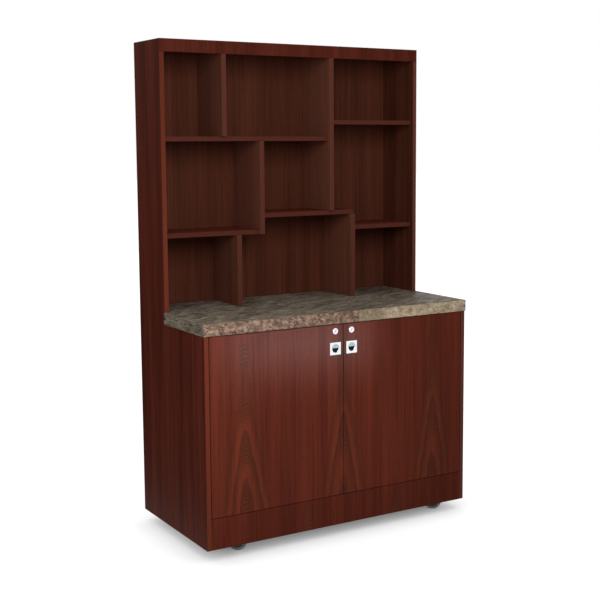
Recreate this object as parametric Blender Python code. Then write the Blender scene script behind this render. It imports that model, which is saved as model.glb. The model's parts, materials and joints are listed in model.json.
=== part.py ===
"""Back bar cabinet: an open shelf hutch on a two-door base that rolls on four swivel casters.

Metres, +Z up. The front looks towards -Y, the floor is z = 0 and the origin lies under the middle
of the cabinet. Both doors are closed and both locks are open.
"""

import math

import bmesh
import bpy
from mathutils import Matrix, Vector

# Cabinet
WIDTH = 1.219
DEPTH = 0.610
HEIGHT = 1.981
COUNTER_HEIGHT = 0.914
FLOOR_CLEARANCE = 0.045
PANEL = 0.019
BASE_BACK = 0.012
BACK_INSET = 0.003
EDGE_EASE = 0.0008
FIT = 0.0003
WELD = 0.000001

# Countertop with built-up front and side edges
COUNTER_SLAB = 0.025
COUNTER_EDGE = 0.0475
COUNTER_OVERHANG = 0.004
COUNTER_DROP_DEPTH = 0.0265
COUNTER_ROUND = 0.004
COUNTER_ROUND_STEPS = 3

# Hutch
HUTCH_DEPTH = 0.254
FASCIA_HEIGHT = 0.050
SHELF_SETBACK = 0.016

# Clear widths of the hutch bays, measured from the end panels
UPPER_LEFT_BAY = 0.247
MIDDLE_LEFT_BAY = 0.4155
LOWER_LEFT_BAY = 0.308
UPPER_RIGHT_BAY = 0.4105
LOWER_RIGHT_BAY = 0.304

# Undersides of the hutch shelves, above the counter
LOWER_SHELVES = 0.291
MIDDLE_SHELF = 0.358
UPPER_LEFT_SHELF = 0.672
UPPER_RIGHT_SHELF = 0.7415

# Base
PLINTH_HEIGHT = 0.121
RAIL_DEPTH = 0.080
RAIL_SETBACK = 0.060
BASE_SHELF_HEIGHT = 0.500
BASE_SHELF_SETBACK = 0.070
BASE_SHELF_GAP = 0.0008
PIN_DIAMETER = 0.005
PIN_REACH = 0.010
PIN_SOCKET = 0.009
PIN_COLLAR = 0.009
PIN_COLLAR_LENGTH = 0.0015
PIN_FROM_EDGE = 0.060

# Doors on pivot pins set into their top and bottom edges
DOOR_GAP = 0.0025
DOOR_SEAM = 0.003
PIVOT_INSET = 0.025
PIVOT_DIAMETER = 0.008
PIVOT_REACH = 0.010
PIVOT_PLATE_LENGTH = 0.044
PIVOT_PLATE_WIDTH = 0.014
PIVOT_PLATE = 0.0025
BUSH_DIAMETER = 0.012
BUSH_LENGTH = 0.012
BUSH_FLANGE = 0.016

# Cam locks
LOCK_FROM_SEAM = 0.038
LOCK_BELOW_COUNTER = 0.0285
LOCK_FLANGE = 0.025
LOCK_FLANGE_PROUD = 0.002
LOCK_BARREL = 0.019
LOCK_BARREL_LENGTH = 0.024
LOCK_PLUG = 0.013
LOCK_STUB = 0.007
KEY_SLOT_LENGTH = 0.008
KEY_SLOT_WIDTH = 0.0018
KEY_SLOT_DEPTH = 0.003
CAM = 0.002
CAM_REACH = 0.042
CAM_HUB = 0.018
CAM_TIP = 0.012

# Flush finger pulls
PULL_BELOW_COUNTER = 0.0985
PULL_PLATE = 0.050
PULL_PLATE_PROUD = 0.0016
PULL_CUP_WIDTH = 0.038
PULL_CUP_HEIGHT = 0.036
PULL_CUP_DEPTH = 0.012
PULL_WALL = 0.0012
PULL_MOUTH_WIDTH = 0.029
PULL_MOUTH_HEIGHT = 0.0185
PULL_MOUTH_TOP = 0.002
PULL_CORNER = 0.004

# Casters
CASTER_FROM_SIDE = 0.1365
CASTER_TURN = math.radians(-35)
SWIVEL_ROOM = 0.003
WHEEL_DIAMETER = 0.075
WHEEL_WIDTH = 0.028
WHEEL_HUB = 0.024
WHEEL_HUB_WIDTH = 0.032
WHEEL_RIM = 0.054
WHEEL_WEB = 0.014
WHEEL_SHOULDER = 0.004
WHEEL_ROOM = 0.003
TRAIL = 0.036
AXLE = 0.008
AXLE_HEAD = 0.013
AXLE_HEAD_LENGTH = 0.004
FORK_SHEET = 0.003
FORK_CROWN = 0.048
FORK_BOSS = 0.022
RACE_HEIGHT = 0.007
RACE_LIP = 0.004
KING_PIN = 0.010
KING_PIN_HEAD = 0.017
KING_PIN_HEAD_HEIGHT = 0.0025
TOP_PLATE = 0.003
TOP_PLATE_LENGTH = 0.076
TOP_PLATE_CORNER = 0.008
BOLT_HOLE = 0.008
BOLT_SPACING = 0.056

# Facets of round pieces
WHEEL_SIDES = 32
ROUND_SIDES = 24
SMALL_SIDES = 12
ARC_STEPS = 8
CORNER_STEPS = 3
SHOULDER_STEPS = 2
SMOOTH_ANGLE = math.radians(40)

# Planes that several pieces share
FRONT = COUNTER_OVERHANG - (DEPTH + COUNTER_OVERHANG) / 2
REAR = FRONT + DEPTH
HUTCH_FRONT = REAR - HUTCH_DEPTH
HUTCH_BACK = REAR - BACK_INSET - PANEL
BASE_REAR = REAR - BACK_INSET - BASE_BACK
INNER = WIDTH / 2 - PANEL
CARCASS_BOTTOM = FLOOR_CLEARANCE
PLINTH_TOP = CARCASS_BOTTOM + PLINTH_HEIGHT
COUNTER_UNDERSIDE = COUNTER_HEIGHT - COUNTER_EDGE
SLAB_UNDERSIDE = COUNTER_HEIGHT - COUNTER_SLAB
FASCIA_BOTTOM = HEIGHT - FASCIA_HEIGHT
TOP_UNDERSIDE = HEIGHT - PANEL
DOOR_MIDDLE = FRONT + PANEL / 2

# Caster heights, stacked up from the floor
AXLE_HEIGHT = WHEEL_DIAMETER / 2 * math.cos(math.pi / WHEEL_SIDES)
CROWN_UNDERSIDE = AXLE_HEIGHT + WHEEL_DIAMETER / 2 + KING_PIN_HEAD_HEIGHT + 2 * FIT + WHEEL_ROOM
CROWN_TOP = CROWN_UNDERSIDE + FORK_SHEET
RACE_BOTTOM = CROWN_TOP + FIT
PLATE_BOTTOM = RACE_BOTTOM + RACE_HEIGHT
PLATE_TOP = PLATE_BOTTOM + TOP_PLATE
BOTTOM_PANEL = PLATE_TOP + FIT
SWIVEL_RADIUS = math.hypot(TRAIL + WHEEL_DIAMETER / 2, WHEEL_WIDTH / 2)
CASTER_FRONT = FRONT + PANEL + SWIVEL_RADIUS + SWIVEL_ROOM
CASTER_REAR = BASE_REAR - SWIVEL_RADIUS - SWIVEL_ROOM
CASTER_X = WIDTH / 2 - CASTER_FROM_SIDE

SIDES = {"left": -1, "right": 1}


# Shaping helpers

def material(name, colour, roughness, metallic=0.0):
    """A finish with its colour, roughness and metallic value."""
    finish = bpy.data.materials.new(name)
    finish.use_nodes = True
    shader = finish.node_tree.nodes["Principled BSDF"]
    shader.inputs["Base Color"].default_value = (*colour, 1.0)
    shader.inputs["Roughness"].default_value = roughness
    shader.inputs["Metallic"].default_value = metallic
    return finish


def add_object(name, shape, finish=None, location=(0, 0, 0), parent=None):
    """Turn a bmesh into a named object with its faces pointing out."""
    bmesh.ops.recalc_face_normals(shape, faces=shape.faces)
    mesh = bpy.data.meshes.new(name)
    shape.to_mesh(mesh)
    shape.free()
    if finish:
        mesh.materials.append(finish)
    piece = bpy.data.objects.new(name, mesh)
    piece.location = location
    piece.parent = parent
    bpy.context.scene.collection.objects.link(piece)
    return piece


def smooth(piece):
    """Shade a round piece smooth and keep its real corners sharp."""
    piece.data.shade_smooth()
    piece.data.set_sharp_from_angle(angle=SMOOTH_ANGLE)
    return piece


def box(low, high):
    """A bmesh block between two corners."""
    shape = bmesh.new()
    size = Vector(high) - Vector(low)
    middle = (Vector(high) + Vector(low)) / 2
    place = Matrix.Translation(middle) @ Matrix.Diagonal((*size, 1.0))
    bmesh.ops.create_cube(shape, size=1.0, matrix=place)
    return shape


def prism(outline, start, end, plane):
    """A bmesh plate: an outline in the plane named by its normal, extruded from start to end."""
    normal = "XYZ".index(plane)

    def place(first, second, height):
        spot = [first, second]
        spot.insert(normal, height)
        return spot

    shape = bmesh.new()
    face = shape.faces.new([shape.verts.new(place(*point, start)) for point in outline])
    grown = bmesh.ops.extrude_face_region(shape, geom=[face])
    raised = [item for item in grown["geom"] if isinstance(item, bmesh.types.BMVert)]
    bmesh.ops.translate(shape, verts=raised, vec=place(0, 0, end - start))
    return shape


def turning(profile, sides, closed=False, turn=0.0):
    """A bmesh turned about Z from (radius, height) points, closed where the piece has a bore."""
    shape = bmesh.new()
    points = [shape.verts.new((radius, 0, height)) for radius, height in profile]
    pairs = list(zip(points, points[1:]))
    if closed:
        pairs.append((points[-1], points[0]))
    lines = [shape.edges.new(pair) for pair in pairs]
    bmesh.ops.spin(shape, geom=points + lines, axis=(0, 0, 1), cent=(0, 0, 0),
                   angle=math.tau, steps=sides, use_merge=True)
    bmesh.ops.remove_doubles(shape, verts=shape.verts, dist=WELD)
    bmesh.ops.rotate(shape, verts=shape.verts, cent=(0, 0, 0), matrix=Matrix.Rotation(turn, 3, "Z"))
    return shape


def rod(radius, start, end, sides=ROUND_SIDES):
    """A bmesh cylinder along Z."""
    return turning([(0, end), (radius, end), (radius, start), (0, start)], sides)


def arc(centre, radius, start, end, steps=ARC_STEPS):
    """Points along an arc, its angles in degrees."""
    angles = [math.radians(start + (end - start) * step / steps) for step in range(steps + 1)]
    return [(centre[0] + radius * math.cos(a), centre[1] + radius * math.sin(a)) for a in angles]


def rounded_rectangle(width, height, radius):
    """Points of a rectangle about the origin with round corners."""
    x = width / 2 - radius
    y = height / 2 - radius
    corners = [((x, y), 0), ((-x, y), 90), ((-x, -y), 180), ((x, -y), 270)]
    return [point for centre, start in corners
            for point in arc(centre, radius, start, start + 90, CORNER_STEPS)]


def along_y(shape):
    """Lay a turned bmesh along Y, its top towards the front."""
    lay = Matrix.Rotation(math.pi / 2, 3, "X")
    bmesh.ops.rotate(shape, verts=shape.verts, cent=(0, 0, 0), matrix=lay)
    return shape


def along_x(shape, side):
    """Lay a turned bmesh along X, its top towards the given side."""
    lay = Matrix.Rotation(side * math.pi / 2, 3, "Y")
    bmesh.ops.rotate(shape, verts=shape.verts, cent=(0, 0, 0), matrix=lay)
    return shape


def combine(piece, shapes, operation):
    """Cut bmesh shapes out of a piece, or unite them with it, in the piece's own coordinates."""
    for number, shape in enumerate(shapes):
        tool = add_object(f"{piece.name}_{operation.lower()}_{number}", shape, None, (0, 0, 0), piece)
        tool.hide_render = True
        tool.display_type = "WIRE"
        step = piece.modifiers.new(f"{operation.lower()}_{number}", "BOOLEAN")
        step.solver = "EXACT"
        step.operation = operation
        step.object = tool
    return piece


def ease(shape):
    """Break the outer edges of a board, as its edge banding does."""
    bmesh.ops.recalc_face_normals(shape, faces=shape.faces)
    outer = [edge for edge in shape.edges if edge.is_convex]
    bmesh.ops.bevel(shape, geom=outer, offset=EDGE_EASE, offset_type="OFFSET", affect="EDGES",
                    segments=1, profile=0.5)
    return shape


def panel(name, low, high, finish):
    """A flat board between two corners, its origin in its middle."""
    middle = (Vector(low) + Vector(high)) / 2
    return add_object(name, ease(box(Vector(low) - middle, Vector(high) - middle)), finish, middle)


def pivot(name, location, turn=0.0, parent=None):
    """An empty on a joint's axis that carries the pieces that turn about it."""
    axis = bpy.data.objects.new(name, None)
    axis.location = location
    axis.rotation_euler.z = turn
    axis.parent = parent
    bpy.context.scene.collection.objects.link(axis)
    return axis


# Carcass

def end_panels(finish):
    """The two one-piece sides: deep up to the counter, then narrow up to the top."""
    fascia_back = HUTCH_FRONT + PANEL + FIT
    outline = [
        (FRONT, CARCASS_BOTTOM),
        (REAR, CARCASS_BOTTOM),
        (REAR, HEIGHT),
        (fascia_back, HEIGHT),
        (fascia_back, FASCIA_BOTTOM - FIT),
        (HUTCH_FRONT, FASCIA_BOTTOM - FIT),
        (HUTCH_FRONT, COUNTER_UNDERSIDE - FIT),
        (FRONT, COUNTER_UNDERSIDE - FIT),
    ]
    socket_depth = PIN_SOCKET + FIT
    for label, side in SIDES.items():
        place = side * (INNER + PANEL / 2)
        board = ease(prism(outline, -PANEL / 2, PANEL / 2, "X"))
        piece = add_object(f"{label}_end_panel", board, finish, (place, 0, 0))
        sockets = []
        for y in shelf_pin_rows():
            socket = along_x(rod(PIN_DIAMETER / 2 + FIT, -FIT, socket_depth, SMALL_SIDES), side)
            bmesh.ops.translate(socket, verts=socket.verts, vec=(side * -PANEL / 2, y, shelf_pin_height()))
            sockets.append(socket)
        combine(piece, sockets, "DIFFERENCE")


def counter(finish):
    """The worktop: a slab notched round the tall sides, with deep front and side edges."""
    half = WIDTH / 2 + COUNTER_OVERHANG
    rear_half = INNER - FIT
    notch = HUTCH_FRONT - FIT
    rear = REAR - BACK_INSET
    front = FRONT - COUNTER_OVERHANG
    outline = [
        (-half, front), (half, front), (half, notch), (rear_half, notch),
        (rear_half, rear), (-rear_half, rear), (-rear_half, notch), (-half, notch),
    ]
    shape = prism(outline, COUNTER_UNDERSIDE, COUNTER_HEIGHT, "Z")
    front_edges = [edge for edge in shape.edges if all(end.co.y < front + FIT for end in edge.verts)]
    side_edges = [edge for edge in shape.edges if all(abs(end.co.x) > half - FIT for end in edge.verts)
                  and min(end.co.y for end in edge.verts) < notch - FIT]
    rounded = set(front_edges + side_edges)
    bmesh.ops.bevel(shape, geom=list(rounded), offset=COUNTER_ROUND, offset_type="OFFSET", affect="EDGES",
                    segments=COUNTER_ROUND_STEPS, profile=0.5)
    piece = add_object("countertop", shape, finish)
    below = COUNTER_UNDERSIDE - COUNTER_EDGE
    hollow = box((-INNER, front + COUNTER_DROP_DEPTH, below), (INNER, REAR, SLAB_UNDERSIDE))
    cuts = [hollow]
    for side in SIDES.values():
        cuts.append(pivot_mortise(side, COUNTER_UNDERSIDE, 1))
    return smooth(combine(piece, cuts, "DIFFERENCE"))


def base_carcass(finish):
    """The fixed boards of the base between its two sides."""
    half = INNER - FIT
    behind_plinth = FRONT + PANEL + FIT
    panel("base_bottom_panel", (-half, behind_plinth, BOTTOM_PANEL),
          (half, BASE_REAR - FIT, BOTTOM_PANEL + PANEL), finish)
    rail_top = SLAB_UNDERSIDE - FIT
    rail_front = FRONT + RAIL_SETBACK
    panel("front_top_rail", (-half, rail_front, rail_top - PANEL),
          (half, rail_front + RAIL_DEPTH, rail_top), finish)
    rail_rear = BASE_REAR - FIT
    panel("rear_top_rail", (-half, rail_rear - RAIL_DEPTH, rail_top - PANEL),
          (half, rail_rear, rail_top), finish)
    panel("base_back_panel", (-half, BASE_REAR, CARCASS_BOTTOM),
          (half, REAR - BACK_INSET, rail_top), finish)
    plinth = panel("plinth_panel", (-half, FRONT, CARCASS_BOTTOM),
                   (half, FRONT + PANEL, PLINTH_TOP), finish)
    mortises = []
    for side in SIDES.values():
        mortise = pivot_mortise(side, PLINTH_TOP, -1)
        bmesh.ops.translate(mortise, verts=mortise.verts, vec=-plinth.location)
        mortises.append(mortise)
    combine(plinth, mortises, "DIFFERENCE")


def shelf_pin_rows():
    """Where the base shelf's pins stand, front and rear."""
    return FRONT + BASE_SHELF_SETBACK + PIN_FROM_EDGE, BASE_REAR - FIT - PIN_FROM_EDGE


def shelf_pin_height():
    """The middle of the pins, which carry the base shelf on their tops."""
    return BASE_SHELF_HEIGHT - FIT - PIN_DIAMETER / 2


def base_shelf(wood, steel):
    """The loose shelf behind the doors and the four pins it lies on."""
    half = INNER - PIN_COLLAR_LENGTH - BASE_SHELF_GAP
    panel("base_shelf", (-half, FRONT + BASE_SHELF_SETBACK, BASE_SHELF_HEIGHT),
          (half, BASE_REAR - FIT, BASE_SHELF_HEIGHT + PANEL), wood)
    radius = PIN_DIAMETER / 2
    collar = PIN_COLLAR / 2
    profile = [
        (0, PIN_SOCKET), (radius, PIN_SOCKET), (radius, -FIT), (collar, -FIT),
        (collar, -PIN_COLLAR_LENGTH), (radius, -PIN_COLLAR_LENGTH), (radius, -PIN_REACH), (0, -PIN_REACH),
    ]
    for label, side in SIDES.items():
        for row, y in zip(("front", "rear"), shelf_pin_rows()):
            shape = along_x(turning(profile, SMALL_SIDES), side)
            place = (side * INNER, y, shelf_pin_height())
            smooth(add_object(f"shelf_pin_{label}_{row}", shape, steel, place))


# Hutch

def hutch_frame(finish):
    """The top, the fascia across its front and the back of the open shelves."""
    half = INNER - FIT
    panel("hutch_fascia", (-WIDTH / 2, HUTCH_FRONT, FASCIA_BOTTOM),
          (WIDTH / 2, HUTCH_FRONT + PANEL, HEIGHT), finish)
    panel("hutch_top_panel", (-half, HUTCH_FRONT + PANEL + FIT, TOP_UNDERSIDE),
          (half, REAR - BACK_INSET, HEIGHT), finish)
    panel("hutch_back_panel", (-half, HUTCH_BACK, COUNTER_HEIGHT + FIT),
          (half, REAR - BACK_INSET, TOP_UNDERSIDE - FIT), finish)


def hutch_divider(name, left, bottom, top, finish):
    """An upright board, notched under the fascia where it reaches the top."""
    front = HUTCH_FRONT
    rear = HUTCH_BACK - FIT
    outline = [(front, bottom), (rear, bottom), (rear, top), (front, top)]
    notch_bottom = FASCIA_BOTTOM - FIT
    if top > notch_bottom:
        notch_back = HUTCH_FRONT + PANEL + FIT
        outline[3:] = [(notch_back, top), (notch_back, notch_bottom), (front, notch_bottom)]
    board = ease(prism(outline, -PANEL / 2, PANEL / 2, "X"))
    add_object(name, board, finish, (left + PANEL / 2, 0, 0))


def hutch_shelf(name, left, right, bottom, finish):
    """A level board, set back a little from the edges of the uprights."""
    panel(name, (left, HUTCH_FRONT + SHELF_SETBACK, bottom),
          (right, HUTCH_BACK - FIT, bottom + PANEL), finish)


def hutch_shelves(finish):
    """The staggered uprights and shelves that make the nine open bays."""
    top = TOP_UNDERSIDE - FIT
    floor = COUNTER_HEIGHT + FIT
    lower = COUNTER_HEIGHT + LOWER_SHELVES
    middle = COUNTER_HEIGHT + MIDDLE_SHELF
    upper_left = COUNTER_HEIGHT + UPPER_LEFT_SHELF
    upper_right = COUNTER_HEIGHT + UPPER_RIGHT_SHELF

    upper_left_x = -INNER + UPPER_LEFT_BAY
    middle_left_x = -INNER + MIDDLE_LEFT_BAY
    lower_left_x = -INNER + LOWER_LEFT_BAY
    upper_right_x = INNER - UPPER_RIGHT_BAY - PANEL
    lower_right_x = INNER - LOWER_RIGHT_BAY - PANEL

    hutch_divider("divider_upper_left", upper_left_x, upper_left + PANEL + FIT, top, finish)
    hutch_divider("divider_upper_right", upper_right_x, middle + PANEL + FIT, top, finish)
    hutch_divider("divider_middle_left", middle_left_x, lower, upper_left - FIT, finish)
    hutch_divider("divider_lower_left", lower_left_x, floor, lower - FIT, finish)
    hutch_divider("divider_lower_right", lower_right_x, floor, middle - FIT, finish)

    hutch_shelf("shelf_upper_left", -INNER + FIT, upper_right_x - FIT, upper_left, finish)
    hutch_shelf("shelf_upper_right", upper_right_x + PANEL + FIT, INNER - FIT, upper_right, finish)
    hutch_shelf("shelf_middle", middle_left_x + PANEL + FIT, lower_right_x + PANEL, middle, finish)
    hutch_shelf("shelf_lower_left", -INNER + FIT, middle_left_x - FIT, lower, finish)
    hutch_shelf("shelf_lower_right", lower_right_x + PANEL + FIT, INNER - FIT, lower, finish)


# Doors and their pivots

def pivot_x(side):
    """The door's turning axis, in from its outer edge."""
    return side * (INNER - DOOR_GAP - PIVOT_INSET)


def pivot_mortise(side, face, into):
    """The shallow seat of a pivot plate in the edge at the given height, cut up (1) or down (-1)."""
    half_length = PIVOT_PLATE_LENGTH / 2 + FIT
    half_width = PIVOT_PLATE_WIDTH / 2 + FIT
    ends = sorted((face - into * FIT, face + into * (PIVOT_PLATE + FIT)))
    low = (pivot_x(side) - half_length, DOOR_MIDDLE - half_width, ends[0])
    high = (pivot_x(side) + half_length, DOOR_MIDDLE + half_width, ends[1])
    return box(low, high)


def door(label, side, axis, finish):
    """One door with its seats for the pivots, the lock and the pull."""
    low_z = PLINTH_TOP + DOOR_GAP
    high_z = COUNTER_UNDERSIDE - DOOR_GAP
    edges = sorted((side * DOOR_SEAM / 2, side * (INNER - DOOR_GAP)))
    origin = Vector(axis.location)
    low = Vector((edges[0], FRONT, low_z)) - origin
    high = Vector((edges[1], FRONT + PANEL, high_z)) - origin
    piece = add_object(f"{label}_door", ease(box(low, high)), finish, (0, 0, 0), axis)
    bush_hole = BUSH_DIAMETER / 2 + FIT
    bush_depth = BUSH_LENGTH + FIT
    cuts = [
        rod(bush_hole, low.z - FIT, low.z + bush_depth),
        rod(bush_hole, high.z - bush_depth, high.z + FIT),
    ]
    lock_hole = along_y(rod(LOCK_BARREL / 2 + FIT, -PANEL - FIT, FIT))
    bmesh.ops.translate(lock_hole, verts=lock_hole.verts, vec=lock_place(side) - origin)
    pocket = prism(rounded_rectangle(PULL_CUP_WIDTH + 2 * FIT, PULL_CUP_HEIGHT + 2 * FIT, PULL_CORNER),
                   -FIT, PULL_CUP_DEPTH + FIT, "Y")
    bmesh.ops.translate(pocket, verts=pocket.verts, vec=pull_place(side) - origin)
    combine(piece, cuts + [lock_hole, pocket], "DIFFERENCE")


def door_pivots(label, side, axis, steel, nylon):
    """Pins on plates in the plinth and the counter, and the flanged bushes that turn on them."""
    pin_radius = PIVOT_DIAMETER / 2
    flange = DOOR_GAP - 2 * FIT
    levels = {"bottom": (PLINTH_TOP, 1), "top": (COUNTER_UNDERSIDE, -1)}
    bush_profile = [
        (pin_radius + FIT, -flange), (BUSH_FLANGE / 2, -flange), (BUSH_FLANGE / 2, 0),
        (BUSH_DIAMETER / 2, 0), (BUSH_DIAMETER / 2, BUSH_LENGTH), (pin_radius + FIT, BUSH_LENGTH),
    ]
    for level, (face, up) in levels.items():
        outline = rounded_rectangle(PIVOT_PLATE_LENGTH, PIVOT_PLATE_WIDTH, pin_radius)
        plate = prism(outline, -PIVOT_PLATE, 0, "Z")
        pin = rod(pin_radius, -PIVOT_PLATE / 2, DOOR_GAP + PIVOT_REACH)
        bush = turning(bush_profile, ROUND_SIDES, closed=True)
        for shape in (plate, pin, bush):
            bmesh.ops.scale(shape, verts=shape.verts, vec=(1, 1, up))
        place = (pivot_x(side), DOOR_MIDDLE, face)
        carrier = add_object(f"{label}_{level}_pivot", plate, steel, place)
        smooth(combine(carrier, [pin], "UNION"))
        seat = Vector((0, 0, face + up * (DOOR_GAP - FIT) - axis.location.z))
        smooth(add_object(f"{label}_{level}_bush", bush, nylon, seat, axis))


# Locks and pulls

def lock_place(side):
    """The lock's middle on the door's front face."""
    return Vector((side * LOCK_FROM_SEAM, FRONT, COUNTER_UNDERSIDE - LOCK_BELOW_COUNTER))


def pull_place(side):
    """The pull's middle on the door's front face, straight under the lock."""
    return Vector((side * LOCK_FROM_SEAM, FRONT, COUNTER_UNDERSIDE - PULL_BELOW_COUNTER))


def lock(label, side, axis, chrome, steel):
    """A cam lock: a flanged barrel in the door, and the plug and cam that the key turns."""
    origin = lock_place(side) - Vector(axis.location)
    bore = LOCK_PLUG / 2 + FIT
    front = LOCK_FLANGE_PROUD + FIT
    barrel = [
        (bore, front), (LOCK_FLANGE / 2 - LOCK_FLANGE_PROUD / 2, front), (LOCK_FLANGE / 2, front / 2),
        (LOCK_FLANGE / 2, FIT), (LOCK_BARREL / 2, FIT), (LOCK_BARREL / 2, -LOCK_BARREL_LENGTH),
        (bore, -LOCK_BARREL_LENGTH),
    ]
    shape = along_y(turning(barrel, ROUND_SIDES, closed=True))
    smooth(add_object(f"{label}_lock_barrel", shape, chrome, origin, axis))

    key_axis = pivot(f"{label}_lock_axis", origin, 0.0, axis)
    shoulder = -LOCK_BARREL_LENGTH - FIT
    cam_rear = shoulder - FIT - CAM
    plug = [
        (0, front - FIT), (LOCK_PLUG / 2, front - FIT), (LOCK_PLUG / 2, shoulder),
        (LOCK_STUB / 2, shoulder), (LOCK_STUB / 2, cam_rear - FIT), (0, cam_rear - FIT),
    ]
    shape = along_y(turning(plug, ROUND_SIDES))
    piece = add_object(f"{label}_lock_plug", shape, chrome, (0, 0, 0), key_axis)
    slot = box((-KEY_SLOT_WIDTH / 2, -front - FIT, -KEY_SLOT_LENGTH / 2),
               (KEY_SLOT_WIDTH / 2, -front + KEY_SLOT_DEPTH, KEY_SLOT_LENGTH / 2))
    smooth(combine(piece, [slot], "DIFFERENCE"))

    blade = [(side * x, z) for x, z in cam_outline()]
    shape = prism(blade, -shoulder + FIT, -cam_rear, "Y")
    piece = add_object(f"{label}_lock_cam", shape, steel, (0, 0, 0), key_axis)
    hole = along_y(rod(LOCK_STUB / 2 + FIT, cam_rear - FIT, shoulder + FIT, SMALL_SIDES))
    combine(piece, [hole], "DIFFERENCE")


def cam_outline():
    """A round hub drawn out into a narrower blade with a round tip, along +X."""
    hub = CAM_HUB / 2
    tip = CAM_TIP / 2
    reach = CAM_REACH - tip
    lean = math.degrees(math.asin((hub - tip) / reach))
    return arc((0, 0), hub, 90 - lean, 270 + lean) + arc((reach, 0), tip, -90 + lean, 90 - lean)


def pull(label, side, axis, finish):
    """A flush pull: a square plate with a half-moon mouth over a hollow finger cup."""
    origin = pull_place(side) - Vector(axis.location)
    front = -PULL_PLATE_PROUD - FIT
    plate = prism(rounded_rectangle(PULL_PLATE, PULL_PLATE, PULL_PLATE_PROUD), front, -FIT, "Y")
    piece = add_object(f"{label}_pull", plate, finish, origin, axis)
    cup = prism(rounded_rectangle(PULL_CUP_WIDTH, PULL_CUP_HEIGHT, PULL_CORNER),
                front + PULL_PLATE_PROUD / 2, PULL_CUP_DEPTH, "Y")
    hollow = prism(rounded_rectangle(PULL_CUP_WIDTH - 2 * PULL_WALL, PULL_CUP_HEIGHT - 2 * PULL_WALL,
                                     PULL_CORNER - PULL_WALL), -FIT, PULL_CUP_DEPTH - PULL_WALL, "Y")
    mouth = [(PULL_MOUTH_WIDTH / 2 * x, PULL_MOUTH_TOP + PULL_MOUTH_HEIGHT * z)
             for x, z in arc((0, 0), 1, 180, 360, 2 * ARC_STEPS)]
    opening = prism(mouth, front - FIT, PULL_WALL, "Y")
    combine(piece, [cup], "UNION")
    combine(piece, [hollow, opening], "DIFFERENCE")
    return piece


def doors(wood, chrome, steel, dark_steel, nylon):
    """Both doors, each with all that swings on it."""
    for label, side in SIDES.items():
        axis = pivot(f"{label}_door_axis", (pivot_x(side), DOOR_MIDDLE, PLINTH_TOP))
        door(label, side, axis, wood)
        door_pivots(label, side, axis, dark_steel, nylon)
        lock(label, side, axis, chrome, steel)
        pull(label, side, axis, chrome)


# Casters

def caster_plate(name, location, finish):
    """The fixed top of a caster: bolting plate, upper bearing race and king pin."""
    outline = rounded_rectangle(TOP_PLATE_LENGTH, TOP_PLATE_LENGTH, TOP_PLATE_CORNER)
    piece = add_object(name, prism(outline, PLATE_BOTTOM, PLATE_TOP, "Z"), finish, location)
    pin = KING_PIN / 2
    race = FORK_CROWN / 2
    head_top = CROWN_UNDERSIDE - FIT
    head_bottom = head_top - KING_PIN_HEAD_HEIGHT
    stem = turning([
        (0, PLATE_BOTTOM + TOP_PLATE / 2), (race - RACE_LIP, PLATE_BOTTOM + TOP_PLATE / 2),
        (race, PLATE_BOTTOM - RACE_HEIGHT / 2), (race, RACE_BOTTOM), (pin, RACE_BOTTOM), (pin, head_top),
        (KING_PIN_HEAD / 2, head_top), (KING_PIN_HEAD / 2, head_bottom), (0, head_bottom),
    ], ROUND_SIDES)
    combine(piece, [stem], "UNION")
    holes = []
    for x in (-1, 1):
        for y in (-1, 1):
            hole = rod(BOLT_HOLE / 2, PLATE_BOTTOM - FIT, PLATE_TOP + FIT, SMALL_SIDES)
            bmesh.ops.translate(hole, verts=hole.verts, vec=(x * BOLT_SPACING / 2, y * BOLT_SPACING / 2, 0))
            holes.append(hole)
    smooth(combine(piece, holes, "DIFFERENCE"))


def fork_gap():
    """The clear width between the fork's legs."""
    return WHEEL_HUB_WIDTH + 2 * FIT


def caster_fork(name, axis, finish):
    """The swivelling fork: a pressed crown whose two legs lean back to the axle."""
    crown = FORK_CROWN / 2
    boss = FORK_BOSS / 2
    half = fork_gap() / 2 + FORK_SHEET
    heel = CROWN_UNDERSIDE - FORK_SHEET
    across = -crown - TRAIL
    up = heel - AXLE_HEIGHT
    tangent = math.degrees(math.atan2(up, across) + math.acos(boss / math.hypot(across, up)))
    legs = [(-crown, CROWN_TOP), (-crown, heel)]
    legs += arc((TRAIL, AXLE_HEIGHT), boss, tangent, 360)
    legs += [(max(crown, TRAIL + boss), heel), (crown, CROWN_TOP)]
    piece = add_object(name, prism(legs, -half, half, "Y"), finish, (0, 0, 0), axis)
    reach = crown + TRAIL + boss
    gap = fork_gap() / 2
    inside = box((-reach, -gap, AXLE_HEIGHT - WHEEL_DIAMETER), (reach, gap, CROWN_UNDERSIDE))
    king_hole = rod(KING_PIN / 2 + FIT, CROWN_UNDERSIDE - FIT, CROWN_TOP + FIT)
    axle_hole = along_y(rod(AXLE / 2 + FIT, -half - FIT, half + FIT))
    bmesh.ops.translate(axle_hole, verts=axle_hole.verts, vec=(TRAIL, 0, AXLE_HEIGHT))
    smooth(combine(piece, [inside, king_hole, axle_hole], "DIFFERENCE"))
    return half


def caster_axle(name, axis, half, finish):
    """The axle bolt through both legs, with a head at each end."""
    radius = AXLE / 2
    head = AXLE_HEAD / 2
    inner = half + FIT
    outer = inner + AXLE_HEAD_LENGTH
    profile = [
        (0, outer), (head, outer), (head, inner), (radius, inner),
        (radius, -inner), (head, -inner), (head, -outer), (0, -outer),
    ]
    shape = along_y(turning(profile, SMALL_SIDES))
    smooth(add_object(name, shape, finish, (TRAIL, 0, AXLE_HEIGHT), axis))


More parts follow.
